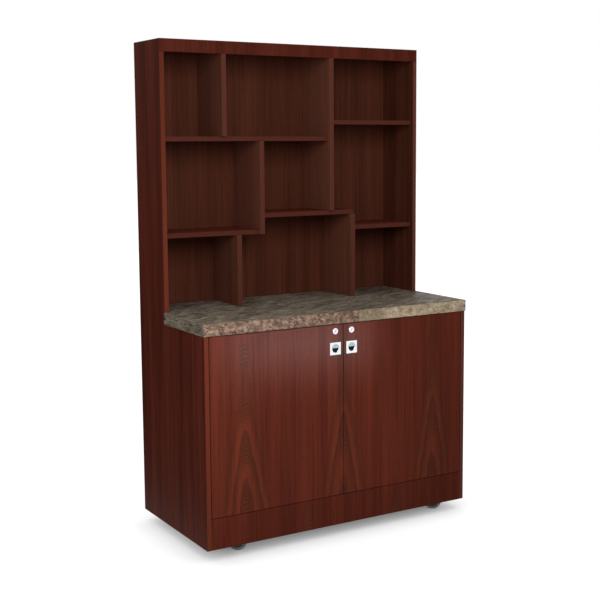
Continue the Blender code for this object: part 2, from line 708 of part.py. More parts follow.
def caster_wheel(name, axis, finish):
    """A wheel with a thin web between its hub and its round-shouldered tread."""
    half = WHEEL_WIDTH / 2
    radius = WHEEL_DIAMETER / 2
    hub_half = WHEEL_HUB_WIDTH / 2
    web = WHEEL_WEB / 2
    bore = AXLE / 2 + FIT
    side = [
        (bore, hub_half), (WHEEL_HUB / 2 - WHEEL_SHOULDER / 2, hub_half), (WHEEL_HUB / 2, web),
        (WHEEL_RIM / 2 - WHEEL_SHOULDER / 2, web), (WHEEL_RIM / 2, half),
    ]
    side += arc((radius - WHEEL_SHOULDER, half - WHEEL_SHOULDER), WHEEL_SHOULDER, 90, 0, SHOULDER_STEPS)
    mirrored = [(r, -y) for r, y in reversed(side)]
    half_facet = math.pi / WHEEL_SIDES
    shape = along_y(turning(side + mirrored, WHEEL_SIDES, closed=True, turn=half_facet))
    spin_axis = pivot(f"{name}_axis", (TRAIL, 0, AXLE_HEIGHT), 0.0, axis)
    smooth(add_object(name, shape, finish, (0, 0, 0), spin_axis))


def casters(steel, rubber):
    """Four alike swivel casters under the corners of the base."""
    for label, side in SIDES.items():
        for row, y in (("front", CASTER_FRONT), ("rear", CASTER_REAR)):
            place = (side * CASTER_X, y, 0)
            caster_plate(f"caster_plate_{label}_{row}", place, steel)
            axis = pivot(f"caster_swivel_{label}_{row}", place, CASTER_TURN)
            half = caster_fork(f"caster_fork_{label}_{row}", axis, steel)
            caster_axle(f"caster_axle_{label}_{row}", axis, half, steel)
            caster_wheel(f"caster_wheel_{label}_{row}", axis, rubber)


def main():
    """Clear the scene and build the cabinet."""
    for old in list(bpy.data.objects):
        bpy.data.objects.remove(old)

    wood = material("mahogany_laminate", (0.105, 0.022, 0.013), 0.42)
    stone = material("granite_look_laminate", (0.30, 0.215, 0.155), 0.35)
    chrome = material("chrome_plate", (0.80, 0.80, 0.80), 0.12, 1.0)
    steel = material("zinc_plated_steel", (0.52, 0.53, 0.54), 0.34, 1.0)
    dark_steel = material("blackened_steel", (0.025, 0.024, 0.023), 0.45, 1.0)
    nylon = material("black_nylon", (0.02, 0.02, 0.021), 0.5)
    rubber = material("grey_rubber", (0.16, 0.16, 0.165), 0.65)

    end_panels(wood)
    base_carcass(wood)
    base_shelf(wood, steel)
    counter(stone)
    hutch_frame(wood)
    hutch_shelves(wood)
    doors(wood, chrome, steel, dark_steel, nylon)
    casters(steel, rubber)


main()
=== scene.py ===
"""Looks of a back bar cabinet: mahogany laminate, stone-look worktop, bright hardware and its studio.

The file is laid out as an add-on and is run as a script. The solids come from the packed frame and
keep their places; finer hardware is built over them and rides on the same bodies.
"""
import json
import math
from collections import namedtuple
from functools import partial

import bmesh
import bpy
from bpy.props import FloatProperty, FloatVectorProperty, IntProperty, PointerProperty
from mathutils import Matrix, Vector

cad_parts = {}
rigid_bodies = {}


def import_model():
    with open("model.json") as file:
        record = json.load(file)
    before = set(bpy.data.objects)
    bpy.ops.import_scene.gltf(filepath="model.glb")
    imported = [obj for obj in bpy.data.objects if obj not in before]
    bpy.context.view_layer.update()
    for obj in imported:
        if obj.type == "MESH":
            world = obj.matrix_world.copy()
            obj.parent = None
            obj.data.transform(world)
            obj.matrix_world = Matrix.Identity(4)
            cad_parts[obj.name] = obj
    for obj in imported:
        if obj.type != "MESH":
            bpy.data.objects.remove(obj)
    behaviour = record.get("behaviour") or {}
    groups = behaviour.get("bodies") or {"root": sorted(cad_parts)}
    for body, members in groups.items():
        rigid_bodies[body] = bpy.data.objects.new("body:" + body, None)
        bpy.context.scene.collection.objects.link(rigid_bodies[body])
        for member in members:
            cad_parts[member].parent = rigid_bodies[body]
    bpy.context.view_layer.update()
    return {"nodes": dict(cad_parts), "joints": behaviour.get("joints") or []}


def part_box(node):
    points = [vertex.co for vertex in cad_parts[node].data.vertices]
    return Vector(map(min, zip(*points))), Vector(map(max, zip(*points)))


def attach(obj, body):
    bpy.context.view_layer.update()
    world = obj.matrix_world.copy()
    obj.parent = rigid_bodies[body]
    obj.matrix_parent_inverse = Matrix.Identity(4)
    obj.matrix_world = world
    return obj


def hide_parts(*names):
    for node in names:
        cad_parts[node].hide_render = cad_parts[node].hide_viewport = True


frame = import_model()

bl_info = {
    "name": "Back Bar Cabinet Looks",
    "version": (1, 0, 0),
    "blender": (4, 5, 0),
    "location": "3D View > Sidebar > Back Bar",
    "description": "Finishes, hardware and studio for a back bar cabinet",
    "category": "Object",
}

MM = 0.001
WELD = 0.01 * MM
HAIR = 0.3 * MM

# Faces that lie flatter than the first count as one, edges past the second show, past the third are rounded
FLAT, SHARP, OUTER = (math.radians(degrees) for degrees in (1, 35, 50))

# How often the span of a ray is halved to find where it leaves an outline
HALVINGS = 30

# Where nearly all values of a noise lie, and how far the roughness of a sheet swings with its print
NOISE_LOW, NOISE_HIGH = 0.3, 0.7
WOOD_SWING, STONE_SWING = 0.08, 0.1

SIDES = ("left", "right")
CORNERS = tuple(f"{side}_{row}" for side in SIDES for row in ("front", "rear"))
JOINTS = {joint["name"]: joint for joint in frame["joints"]}

# The ends of a door, and whether the screws of its pivots face up or down there
DOOR_ENDS = {"bottom": 1, "top": -1}

# Boards by the way their grain runs; an end panel's number is the way its inner face looks along X
PLACES = ("upper_left", "upper_right", "lower_left", "lower_right")
DOORS = ("left_door", "right_door")
BACKS = ("hutch_back_panel", "base_back_panel")
ENDS = {"left_end_panel": 1, "right_end_panel": -1}
DIVIDERS = tuple(f"divider_{place}" for place in (*PLACES, "middle_left"))
SHELVES = tuple(f"shelf_{place}" for place in (*PLACES, "middle"))
LEVEL_BOARDS = (
    "hutch_top_panel", "base_bottom_panel", "front_top_rail", "rear_top_rail", "base_shelf", *SHELVES)

# A crown-cut figure along X: the middle of a sheet, its width and how far up the log it was cut
Crown = namedtuple("Crown", "middle sheet lift")
DOOR_CROWN = Crown(0.0, 0.440, 0.058)
PLINTH_CROWN = Crown(-0.17, 0.430, 0.590)

# How dark the clouds of a plate, of blacked steel and of a moulded piece are beside its own colour
PLATE_SHADE, STEEL_SHADE, MOULD_SHADE = 0.85, 0.6, 0.75

# Shares of a screw or bolt head's width: its crown, and the reach and width of its cross recess
HEAD_CROWN, RECESS_REACH, RECESS_WIDTH = 0.38, 0.55, 0.12

# Studio lamps: where each stands, the point it is aimed at and the setting that gives its width
Lamp = namedtuple("Lamp", "place target width")
LAMPS = {
    "key": Lamp((-1.0, -1.9, 1.15), (-0.3, -0.3, 0.75), "softbox"),
    "fill": Lamp((-2.0, -1.7, 2.0), (0.0, 0.1, 1.55), "softbox"),
    "rim": Lamp((0.6, -2.4, 2.3), (0.2, 0.1, 1.75), "softbox"),
    "near": Lamp((-0.55, -0.9, 1.15), (-0.25, -0.3, 0.55), "small_softbox"),
    "shelf": Lamp((-0.85, -2.4, 2.3), (0.05, 0.2, 1.5), "shelf_softbox"),
    "strip": Lamp((-0.19, -0.52, 0.80), (-0.19, -0.3, 0.80), "strip_length"),
    "foot": Lamp((-1.2, -2.2, 0.15), (0.0, -0.2, 0.02), "small_softbox"),
}

# Lamps that leave out the bays and the floor, and the boards of the bays, which have a lamp of their own
BODY_LAMPS = ("key", "fill", "rim", "near")
BAYS = (*DIVIDERS, *SHELVES, "right_end_panel", "hutch_top_panel", "hutch_back_panel")

# The floor and the black card by half their width, the card's place and the way it faces, and the camera
FLOOR_HALF, CARD_HALF = 40.0, 6.0
CARD_PLACE, CARD_FACE = (-4.87, 5.4, 4.12), (1.0, 0.0, 1.0)
CAMERA_PLACE = (-2.3968, -4.1121, 1.5863)
SENSOR = 36.0


def linear(code):
    """An sRGB hex colour as linear red, green and blue."""
    parts = [int(code[start:start + 2], 16) / 255 for start in (0, 2, 4)]
    return tuple(part / 12.92 if part <= 0.04045 else ((part + 0.055) / 1.055) ** 2.4 for part in parts)


def colour(name, description, code):
    """A colour that a user can change."""
    return FloatVectorProperty(name=name, description=description, subtype="COLOR", size=3,
                               min=0.0, max=1.0, default=linear(code))


def length(name, description, millimetres):
    """A real length that a user can change."""
    return FloatProperty(name=name, description=description, unit="LENGTH", min=0.0,
                         precision=5, default=millimetres * MM)


def amount(name, description, value):
    """A plain number that a user can change."""
    return FloatProperty(name=name, description=description, default=value)


def share(name, description, value):
    """A number from nought to one that a user can change."""
    return FloatProperty(name=name, description=description, subtype="FACTOR",
                         min=0.0, max=1.0, default=value)


def power(name, description, watts):
    """The power of a lamp that a user can change."""
    return FloatProperty(name=name, description=description, unit="POWER", min=0.0, default=watts)


def angle(name, description, degrees):
    """An angle that a user can change."""
    return FloatProperty(name=name, description=description, subtype="ANGLE", default=math.radians(degrees))


class BackBarWood(bpy.types.PropertyGroup):
    """Mahogany laminate"""

    light: colour("Light grain", "Early wood between the growth lines", "6A2F21")
    dark: colour("Dark grain", "Late wood and broad dark bands", "4C2017")
    # Painted shade: the inner colours are a duller, browner copy of the grain for the faces inside the bays
    # and stand in for the shade there
    inner_light: colour("Inner light grain", "Early wood of the duller inside sheets", "643527")
    inner_dark: colour("Inner dark grain", "Late wood of the duller inside sheets", "47261A")
    # Painted light: the upright colours are a lighter, browner copy of the grain for the uprights and stand
    # in for the light on their faces
    upright_light: colour("Upright light grain", "Early wood of the browner sheets on the uprights", "7A4938")
    upright_dark: colour("Upright dark grain", "Late wood of those sheets", "573328")
    figure: colour("Figure", "Olive brown growth lines of the crown figure", "40271B")
    flame: colour("Flame", "Warm early wood between those growth lines", "83402B")
    pore: colour("Pores", "Short dark flecks along the grain", "2A120C")
    band: colour("Edge band", "Dull strip on the front edges of shelves and uprights", "572E25")
    left_band: colour("Left end band", "Orange strip on the front edge of the left end panel", "693122")
    right_band: colour("Right end band", "Paler strip on the front edge of the right end panel", "673C32")
    tone_width: length("Tone width", "Width of the broad tone bands", 55)
    tone_length: length("Tone length", "Length of the broad tone bands", 1500)
    streak_width: length("Streak width", "Width of the fine streaks", 4.5)
    streak_length: length("Streak length", "Length of the fine streaks", 380)
    pore_width: length("Pore width", "Width of a pore, drawn about three times as coarse as real", 0.9)
    pore_length: length("Pore length", "Length of a pore", 26)
    arch: length("Arch spacing", "Distance across between the broad arches of a crown figure", 35.5)
    arch_taper: amount("Arch taper", "How fast the arches draw in with height", 0.156)
    stack: length("Stack spacing", "Height between the fine arches in the heart of a crown figure", 15)
    stack_slope: amount("Stack slope", "How steeply the fine arches fall from the heart", 1.1)
    patch: length("Patch spacing", "Height between the patches of fine arches", 190)
    heart: length("Heart", "Distance of the cut from the heart of the log", 20)
    drift: length("Drift", "How far the growth lines wander", 9)
    arch_strength: share("Arch strength", "How dark the broad arches are", 0.52)
    flame_strength: share("Flame strength", "How warm the wood between the broad arches is", 0.4)
    stack_strength: share("Stack strength", "How dark the patches of fine arches are", 0.8)
    pore_strength: share("Pore strength", "How dark the pores are", 0.5)
    band_strength: share("Band strength", "How much of the grain an edge band covers", 0.85)
    roughness: share("Roughness", "Satin of the sealed sheet", 0.45)
    specular: share("Specular level", "Strength of the reflection", 0.015)


class BackBarStone(bpy.types.PropertyGroup):
    """Stone-look laminate of the worktop"""

    top: colour("Top ground", "Grey brown ground of the top sheet", "7C6F60")
    top_dark: colour("Top shadow", "Dark brown clouds of the top sheet", "40362B")
    top_light: colour("Top vein", "Pale flecks of the top sheet", "B0A694")
    edge: colour("Edge ground", "Pink tan ground of the first edge strip", "645045")
    edge_dark: colour("Edge chips", "Brown chips of the first edge strip", "45362E")
    edge_light: colour("Edge crystals", "Cream crystals of the first edge strip", "AA8F7B")
    second: colour("Second ground", "Green tan ground of the second edge strip", "A6927B")
    second_dark: colour("Second chips", "Olive chips of the second edge strip", "625641")
    second_light: colour("Second crystals", "Cream crystals of the second edge strip", "D2C0A4")
    cloud: length("Cloud size", "Size of the large clouds", 60)
    chip: length("Chip size", "Size of the chips", 17)
    speck: length("Speck size", "Size of the fine specks", 7)
    joint: length("Joint", "Where the two lengths of edge strip meet, from the middle", 72)
    shade: length("Shade", "Length of the dark cloud in the second strip beside the joint", 150)
    stretch: amount("Stretch", "How far the print of the top is drawn out", 5.0)
    spread: amount("Spread", "How far that print is drawn out across", 1.7)
    slant: angle("Slant", "How far the drawn-out print of the top runs off the length", 24)
    top_contrast: share("Top contrast", "How strong the print of the top is", 0.88)
    edge_contrast: share("Edge contrast", "How strong the print of the first edge strip is", 0.95)
    second_contrast: share("Second contrast", "How strong the print of the second edge strip is", 0.8)
    # Painted shade: the left edge of the worktop is darkened to the top's dark clouds
    end_strength: share("End shade strength", "How much darker the left edge is than the top", 0.25)
    shade_strength: share("Shade strength", "How dark the cloud beside the joint is", 0.5)
    joint_strength: share("Joint strength", "How dark the line of the joint is", 0.7)
    roughness: share("Roughness", "Satin of the sheet", 0.42)
    specular: share("Specular level", "Strength of the reflection", 0.02)


class BackBarMetal(bpy.types.PropertyGroup):
    """Metals, nylon and rubber"""

    chrome: colour("Chrome", "Polished plate of the locks and pulls", "EEEEF0")
    chrome_roughness: share("Chrome roughness", "Blur of the polished plate", 0.14)
    zinc: colour("Zinc", "Bright zinc plate of the casters and pins", "B9BBBD")
    zinc_shade: colour("Zinc shade", "Darker spangle of the zinc plate", "8F9294")
    zinc_roughness: share("Zinc roughness", "Blur of the zinc plate", 0.34)
    # This black is the pivots' own colour and also painted shade on the tumblers in the key slots
    black_steel: colour("Blackened steel", "Oil-blacked steel of the door pivots", "2C2A28")
    black_steel_roughness: share("Blackened steel roughness", "Blur of the blackened steel", 0.45)
    satin: colour("Satin plate", "Brushed face over the mouth of a pull", "A9BCC1")
    # This black is the bushes' own colour and also painted shade inside the pull cups
    nylon: colour("Nylon", "Black nylon of the bushes and cup linings", "2A2E34")
    rubber: colour("Rubber", "Grey rubber of the tyres", "A09E9A")
    hub: colour("Hub", "Moulded plastic of the wheel hubs", "6E6B68")
    spangle: length("Spangle size", "Size of the crystals in the zinc plate", 6)
    mould_grain: length("Mould grain", "Size of the dull grain of moulded pieces", 1)


class BackBarHardware(bpy.types.PropertyGroup):
    """Small hardware"""

    edge_round: length("Edge round", "Round on the edges of pressed and turned metal", 0.4)
    fine_round: length("Fine round", "Round on the edges of the lock plug", 0.15)
    screw_head: length("Screw head", "Diameter of a screw head", 8)
    screw_rise: length("Screw rise", "Height of a screw head", 1.6)
    pivot_screw: length("Pivot screw", "Diameter of a pivot plate's screw head", 6)
    pivot_screw_rise: length("Pivot screw rise", "Height of that head over the plate", 0.6)
    pivot_screw_spread: length("Pivot screw spread", "Distance of that screw from the pin", 15.5)
    screw_spacing: length("Screw spacing", "Distance between the screws of the backs", 190)
    screw_inset: length("Screw inset", "Distance of those screws from the edge", 12)
    bolt_head: length("Bolt head", "Width across the corners of a caster bolt head", 13)
    bolt_rise: length("Bolt rise", "Height of a caster bolt head", 4.5)
    bolt_spread: length("Bolt spread", "Distance between the bolts of a caster plate", 56)
    plate: length("Caster plate", "Thickness of a caster's top plate", 3)
    lock_barrel: length("Lock barrel", "Diameter of the lock's threaded barrel", 19)
    lock_dome: length("Lock dome", "Round on the lock's flange", 1.2)
    key_slot: length("Key slot", "Length of the key slot", 8)
    key_slot_width: length("Key slot width", "Width of the key slot", 1.8)
    key_slot_depth: length("Key slot depth", "Depth of the key slot", 3)
    nut_width: length("Lock nut", "Width across the corners of the lock nut", 27)
    nut_height: length("Lock nut height", "Thickness of the lock nut", 3.5)
    cam_nut: length("Cam nut", "Width across the corners of the nut on the cam", 11)
    cam_nut_rise: length("Cam nut rise", "Thickness of the nut on the cam", 3)
    cup_width: length("Pull cup width", "Width of the pull's finger cup", 38)
    cup_height: length("Pull cup height", "Height of the pull's finger cup", 36)
    cup_wall: length("Pull cup wall", "Wall of the finger cup", 1.2)
    cup_corner: length("Pull cup corner", "Round of the cup's corners", 4)
    plate_corner: length("Pull plate corner", "Round of the plate's corners", 2)
    mouth_width: length("Pull mouth width", "Width of the half-moon mouth", 29)
    mouth_height: length("Pull mouth height", "Height of the half-moon mouth", 18.5)
    mouth_top: length("Pull mouth top", "Straight edge of the mouth over the plate's middle", 2)
    dish: length("Pull dish", "Diameter of the shallow round dish in the plate", 36.6)
    dish_depth: length("Pull dish depth", "Depth of that dish", 0.6)
    lip: length("Pull lip", "Rolled lip round the mouth", 0.6)
    tyre_width: length("Tyre width", "Width of a caster tyre", 28)
    tyre_round: length("Tyre round", "Round on the shoulders of a tyre", 5)
    rim: length("Rim", "Diameter where the tyre meets the hub", 54)
    hub_width: length("Hub width", "Width of a wheel hub at its bore", 32)
    hub_boss: length("Hub boss", "Diameter of the stout boss round the bore", 21)
    rim_inset: length("Rim inset", "How far the hub's rim lies inside the side of the tyre", 1.5)
    rim_wall: length("Rim wall", "Thickness of the hub's rim inside the tyre", 2)
    hub_bore: length("Hub bore", "Bore of a wheel hub", 8.6)
    sides: IntProperty(name="Round sides", description="Sides of a turned piece", default=64, min=12)


class BackBarStage(bpy.types.PropertyGroup):
    """Studio and camera"""

    floor: share("Floor", "Brightness of the pale paper floor under its own lamp", 0.30)
    floor_bounce: share("Floor bounce", "Brightness of that floor for the light it throws back", 0.12)
    floor_white: share("Floor glow", "Share of plain white in what the camera sees of the floor", 0.19)
    floor_lamp: amount("Floor lamp", "Strength of the overhead light on the floor", 8.8)
    floor_softness: angle("Floor softness", "Width of the overhead light as the floor sees it", 104)
    card: colour("Card", "Black of the card that keeps glare off the side", "101010")
    ambient: amount("Ambient", "Even light from all round", 0.35)
    key: power("Key lamp", "Power of the large lamp at the front left", 18.5)
    fill: power("Fill lamp", "Power of the large lamp at the left of the hutch", 7.5)
    rim: power("Rim lamp", "Power of the large lamp at the right of the hutch", 6.5)
    shelf: power("Shelf lamp", "Power of the large lamp high before the bays", 39.0)
    near: power("Near lamp", "Power of the small lamp before the doors", 1.3)
    strip: power("Strip lamp", "Power of the strip lamp along the top of the doors", 1.2)
    strip_tint: colour("Strip tint", "Cool daylight of the strip lamp", "6FCAFF")
    foot: power("Foot lamp", "Power of the low lamp before the casters", 0.8)
    softbox: length("Softbox", "Width of the large lamps", 900)
    small_softbox: length("Small softbox", "Width of the near and foot lamps", 400)
    shelf_softbox: length("Shelf softbox", "Width of the shelf lamp", 1300)
    strip_length: length("Strip length", "Length of the strip lamp", 600)
    strip_height: length("Strip height", "Height of the strip lamp", 60)
    strip_spread: angle("Strip spread", "How wide the light of the strip lamp fans out", 100)
    lens: amount("Lens", "Focal length in millimetres on a 36 mm sensor", 68.77)
    azimuth: angle("View azimuth", "How far round to the left the camera stands", 32.02)
    elevation: angle("View elevation", "How far down the camera looks", 6.93)
    roll: angle("View roll", "Tilt of the camera about its own axis", -0.19)
    shift_x: amount("Shift across", "Framing of the photograph, across", -0.0667)
    shift_y: amount("Shift up", "Framing of the photograph, up", -0.0332)


GROUPS = {
    "back_bar_wood": BackBarWood,
    "back_bar_stone": BackBarStone,
    "back_bar_metal": BackBarMetal,
    "back_bar_hardware": BackBarHardware,
    "back_bar_stage": BackBarStage,
}


# Node trees and finishes

def add_node(tree, kind, inputs=None, **settings):
    """Add a node, set its options, and fill or link its inputs; a node as a value lends its output.

    A kind that has no "Node" in its name is a shader node, such as Math or Mix.
    """
    node = tree.nodes.new(kind if "Node" in kind else f"ShaderNode{kind}")
    for option, value in settings.items():
        setattr(node, option, value)
    for key, value in (inputs or {}).items():
        socket = node.inputs[key]
        if isinstance(value, bpy.types.Node):
            value = next(output for output in value.outputs if output.enabled)
        if isinstance(value, bpy.types.NodeSocket):
            tree.links.new(value, socket)
        elif socket.type == "RGBA":
            socket.default_value = (*value, 1.0)
        else:
            socket.default_value = value
    return node


def new_finish(name):
    """An empty material, and the function that adds nodes to it."""
    finish = bpy.data.materials.new(name)
    finish.use_nodes = True
    finish.node_tree.nodes.clear()
    return finish, partial(add_node, finish.node_tree)


def finish_of(name, maker, *values, **options):
    """The finish of that name, made once."""
    return bpy.data.materials.get(name) or maker(name, *values, **options)


def darker(base, part_left):
    """A colour with a part of its light left."""
    return tuple(part_left * part for part in base)


def fibres(add, place, grain, width, run, detail):
    """Noise drawn out along the grain, as wide across it and as long along it as asked."""
    scale = [1 / width] * 3
    scale["XYZ".index(grain)] = 1 / run
    drawn = add("Mapping", {"Vector": place.outputs["Object"], "Scale": scale})
    return add("TexNoise", {"Vector": drawn, "Scale": 1.0, "Detail": detail, "Roughness": 0.6})


def growth_lines(add, place, crown, wood, streak):
    """Growth lines of a crown cut: broad pointed arches, and fine arches stacked in patches at the heart."""
    arch, stack, patch = wood.arch, wood.stack, wood.patch
    smooth = {"interpolation_type": "SMOOTHSTEP"}

    # Where a point lies: up the log, across its own sheet, and from the log's heart, which wanders
    half = crown.sheet / 2
    parts = add("SeparateXYZ", {"Vector": place.outputs["Object"]})
    height = add("Math", {0: parts.outputs["Z"], 1: crown.lift}, operation="ADD")
    shifted = add("Math", {0: parts.outputs["X"], 1: crown.middle}, operation="SUBTRACT")
    across = add("Math", {0: shifted, 1: half, 2: -half}, operation="WRAP")
    reach = add("Math", {0: across}, operation="ABSOLUTE")
    spot = add("CombineXYZ", {"X": across, "Y": wood.heart})
    radius = add("VectorMath", {0: spot}, operation="LENGTH")
    wander = fibres(add, place, "Z", 10 * wood.drift, 40 * wood.drift, 3.0)
    drift = add("MapRange", {0: wander, 1: NOISE_LOW, 2: NOISE_HIGH, 3: -wood.drift, 4: wood.drift})
    wandered = add("Math", {0: radius, 1: drift}, operation="ADD")

    # Broad arches: each darkens outwards over its width, and all fade about four arches from the heart
    cone = add("Math", {0: height, 1: wood.arch_taper, 2: wandered}, operation="MULTIPLY_ADD")
    leg = add("Math", {0: cone, 1: arch, 2: 0.0}, operation="WRAP")
    line = add("MapRange", {0: leg, 1: 0.2 * arch, 2: 0.95 * arch}, **smooth)
    fade = add("MapRange", {0: cone, 1: 3.6 * arch, 2: 4.2 * arch, 3: wood.arch_strength, 4: 0.0})
    broad = add("Math", {0: line, 1: fade}, operation="MULTIPLY")
    between = add("Math", {0: fade, 1: broad}, operation="SUBTRACT")
    warm = add("Math", {0: between, 1: wood.flame_strength}, operation="MULTIPLY", use_clamp=True)

    # Fine arches: uneven steps up the heart, strong in patches, and gone two steps to the side
    bent = add("Math", {0: wandered, 1: wood.stack_slope, 2: height}, operation="MULTIPLY_ADD")
    shake = fibres(add, place, "X", 3 * stack, 3 * stack, 2.0)
    jitter = add("MapRange", {0: shake, 1: NOISE_LOW, 2: NOISE_HIGH, 3: 0.0, 4: 0.8 * stack})
    uneven = add("Math", {0: bent, 1: jitter}, operation="ADD")
    step = add("Math", {0: uneven, 1: stack, 2: 0.0}, operation="WRAP")
    arc = add("MapRange", {0: step, 1: 0.1 * stack, 2: 0.9 * stack, 3: 0.15, 4: 1.0}, **smooth)
    turn = add("Math", {0: bent, 1: patch / 2}, operation="PINGPONG")
    shown = add("MapRange", {0: turn, 1: 0.15 * patch, 2: 0.35 * patch, 3: 0.1, 4: wood.stack_strength})
    narrow = add("MapRange", {0: reach, 1: 0.8 * stack, 2: 2.2 * stack, 3: 1.0, 4: 0.0}, **smooth)
    patched = add("Math", {0: arc, 1: shown}, operation="MULTIPLY")
    fine = add("Math", {0: patched, 1: narrow}, operation="MULTIPLY")

    # The streaks break up both
    either = add("Math", {0: broad, 1: fine}, operation="MAXIMUM")
    ragged = add("MapRange", {0: streak, 1: 0.35, 2: 0.60, 3: 0.6, 4: 1.0})
    dark = add("Math", {0: either, 1: ragged}, operation="MULTIPLY", use_clamp=True)
    return warm, dark


def mahogany(name, grain="Z", crown=None, band=None, inside=None, sheet="inner", shade=0.0, spread=0.32):
    """Mahogany laminate, a printed sheet under a satin seal.

    The eye sees fine streaks along the grain, broad red and brown tones, short dark pores and, on
    the doors, brown growth lines that rise to stacked pointed arches. Faces that look along X the
    way of `inside`, or all faces where that is nought, take the colours of `sheet` in place of the
    grain's own: the duller inner colours are painted shade in the bays, and the lighter upright
    colours are painted light on the uprights. A `shade` off nought pulls the tone to the dark grain,
    or to the light grain below nought, as painted shade or painted light on a whole board.
    """
    wood = bpy.context.scene.back_bar_wood
    finish, add = new_finish(name)
    place = add("TexCoord")
    tone = fibres(add, place, grain, wood.tone_width, wood.tone_length, 2.0)
    streak = fibres(add, place, grain, wood.streak_width, wood.streak_length, 3.0)
    pore = fibres(add, place, grain, wood.pore_width, wood.pore_length, 1.0)
    both = add("Math", {0: tone, 1: streak}, operation="ADD")
    # A shade off nought paints the tone darker (painted shade on the backs, fascia and plinth) or lighter
    # (painted light on the dividers)
    depth = add("MapRange", {0: both, 1: 1 - spread + shade, 2: 1 + spread + shade})
    base = add("Mix", {0: depth, 6: wood.dark, 7: wood.light}, data_type="RGBA")
    if inside is not None or band is not None:
        normal = add("SeparateXYZ", {"Vector": place.outputs["Normal"]})
    if inside is not None:
        # Painted shade from the inner colours and painted light from the upright colours go on these faces;
        # half a unit of margin takes the faces that look that way, and one and a half takes them all
        painted_tone_faces = add("Math", {0: normal.outputs["X"], 1: inside, 2: 1.5 - abs(inside)}, operation="COMPARE")
        dark, light = getattr(wood, f"{sheet}_dark"), getattr(wood, f"{sheet}_light")
        dull = add("Mix", {0: depth, 6: dark, 7: light}, data_type="RGBA")
        base = add("Mix", {0: painted_tone_faces, 6: base, 7: dull}, data_type="RGBA")
    if crown:
        warm, lines = growth_lines(add, place, crown, wood, streak)
        base = add("Mix", {0: warm, 6: base, 7: wood.flame}, data_type="RGBA")
        base = add("Mix", {0: lines, 6: base, 7: wood.figure}, data_type="RGBA")
    if band is not None:
        front = add("MapRange", {0: normal.outputs["Y"], 1: -0.8, 2: -0.95, 3: 0.0, 4: wood.band_strength})
        base = add("Mix", {0: front, 6: base, 7: band}, data_type="RGBA")

    # Pores: the peaks of the finest noise, dark and sunk a little in the satin seal
    fleck = add("MapRange", {0: pore, 1: 0.60, 2: 0.72, 3: 0.0, 4: wood.pore_strength})
    flecked = add("Mix", {0: fleck, 6: base, 7: wood.pore}, data_type="RGBA")
    satin = add("MapRange", {0: streak, 3: wood.roughness - WOOD_SWING, 4: wood.roughness + WOOD_SWING})
    relief = add("Bump", {"Height": fleck, "Strength": 0.2, "Distance": HAIR}, invert=True)
    shader = add("BsdfPrincipled", {
        "Base Color": flecked, "Roughness": satin, "Specular IOR Level": wood.specular, "Normal": relief})
    add("OutputMaterial", {"Surface": shader})
    return finish


def stone_print(add, place, stone, kind, contrast):
    """The print of one kind of stone sheet in its ground, dark and light shades: clouds, crystals, specks."""
    ground, dark, light = (getattr(stone, f"{kind}{shade}") for shade in ("", "_dark", "_light"))
    clouds = add("TexNoise", {
        "Vector": place, "Scale": 1 / stone.cloud, "Detail": 6.0, "Roughness": 0.65, "Distortion": 0.9})
    chips = add("TexNoise", {
        "Vector": place, "Scale": 1 / stone.chip, "Detail": 8.0, "Roughness": 0.78, "Distortion": 0.2})
    specks = add("TexNoise", {"Vector": place, "Scale": 1 / stone.speck, "Detail": 2.0})
    shadow = add("MapRange", {0: clouds, 1: 0.55, 2: 0.36, 3: 0.0, 4: contrast})
    clouded = add("Mix", {0: shadow, 6: ground, 7: dark}, data_type="RGBA")
    pale = add("MapRange", {0: chips, 1: 0.44, 2: 0.62, 3: 0.0, 4: contrast})
    veined = add("Mix", {0: pale, 6: clouded, 7: light}, data_type="RGBA")
    spot = add("MapRange", {0: specks, 1: 0.57, 2: 0.70, 3: 0.0, 4: contrast})
    return add("Mix", {0: spot, 6: veined, 7: dark}, data_type="RGBA")


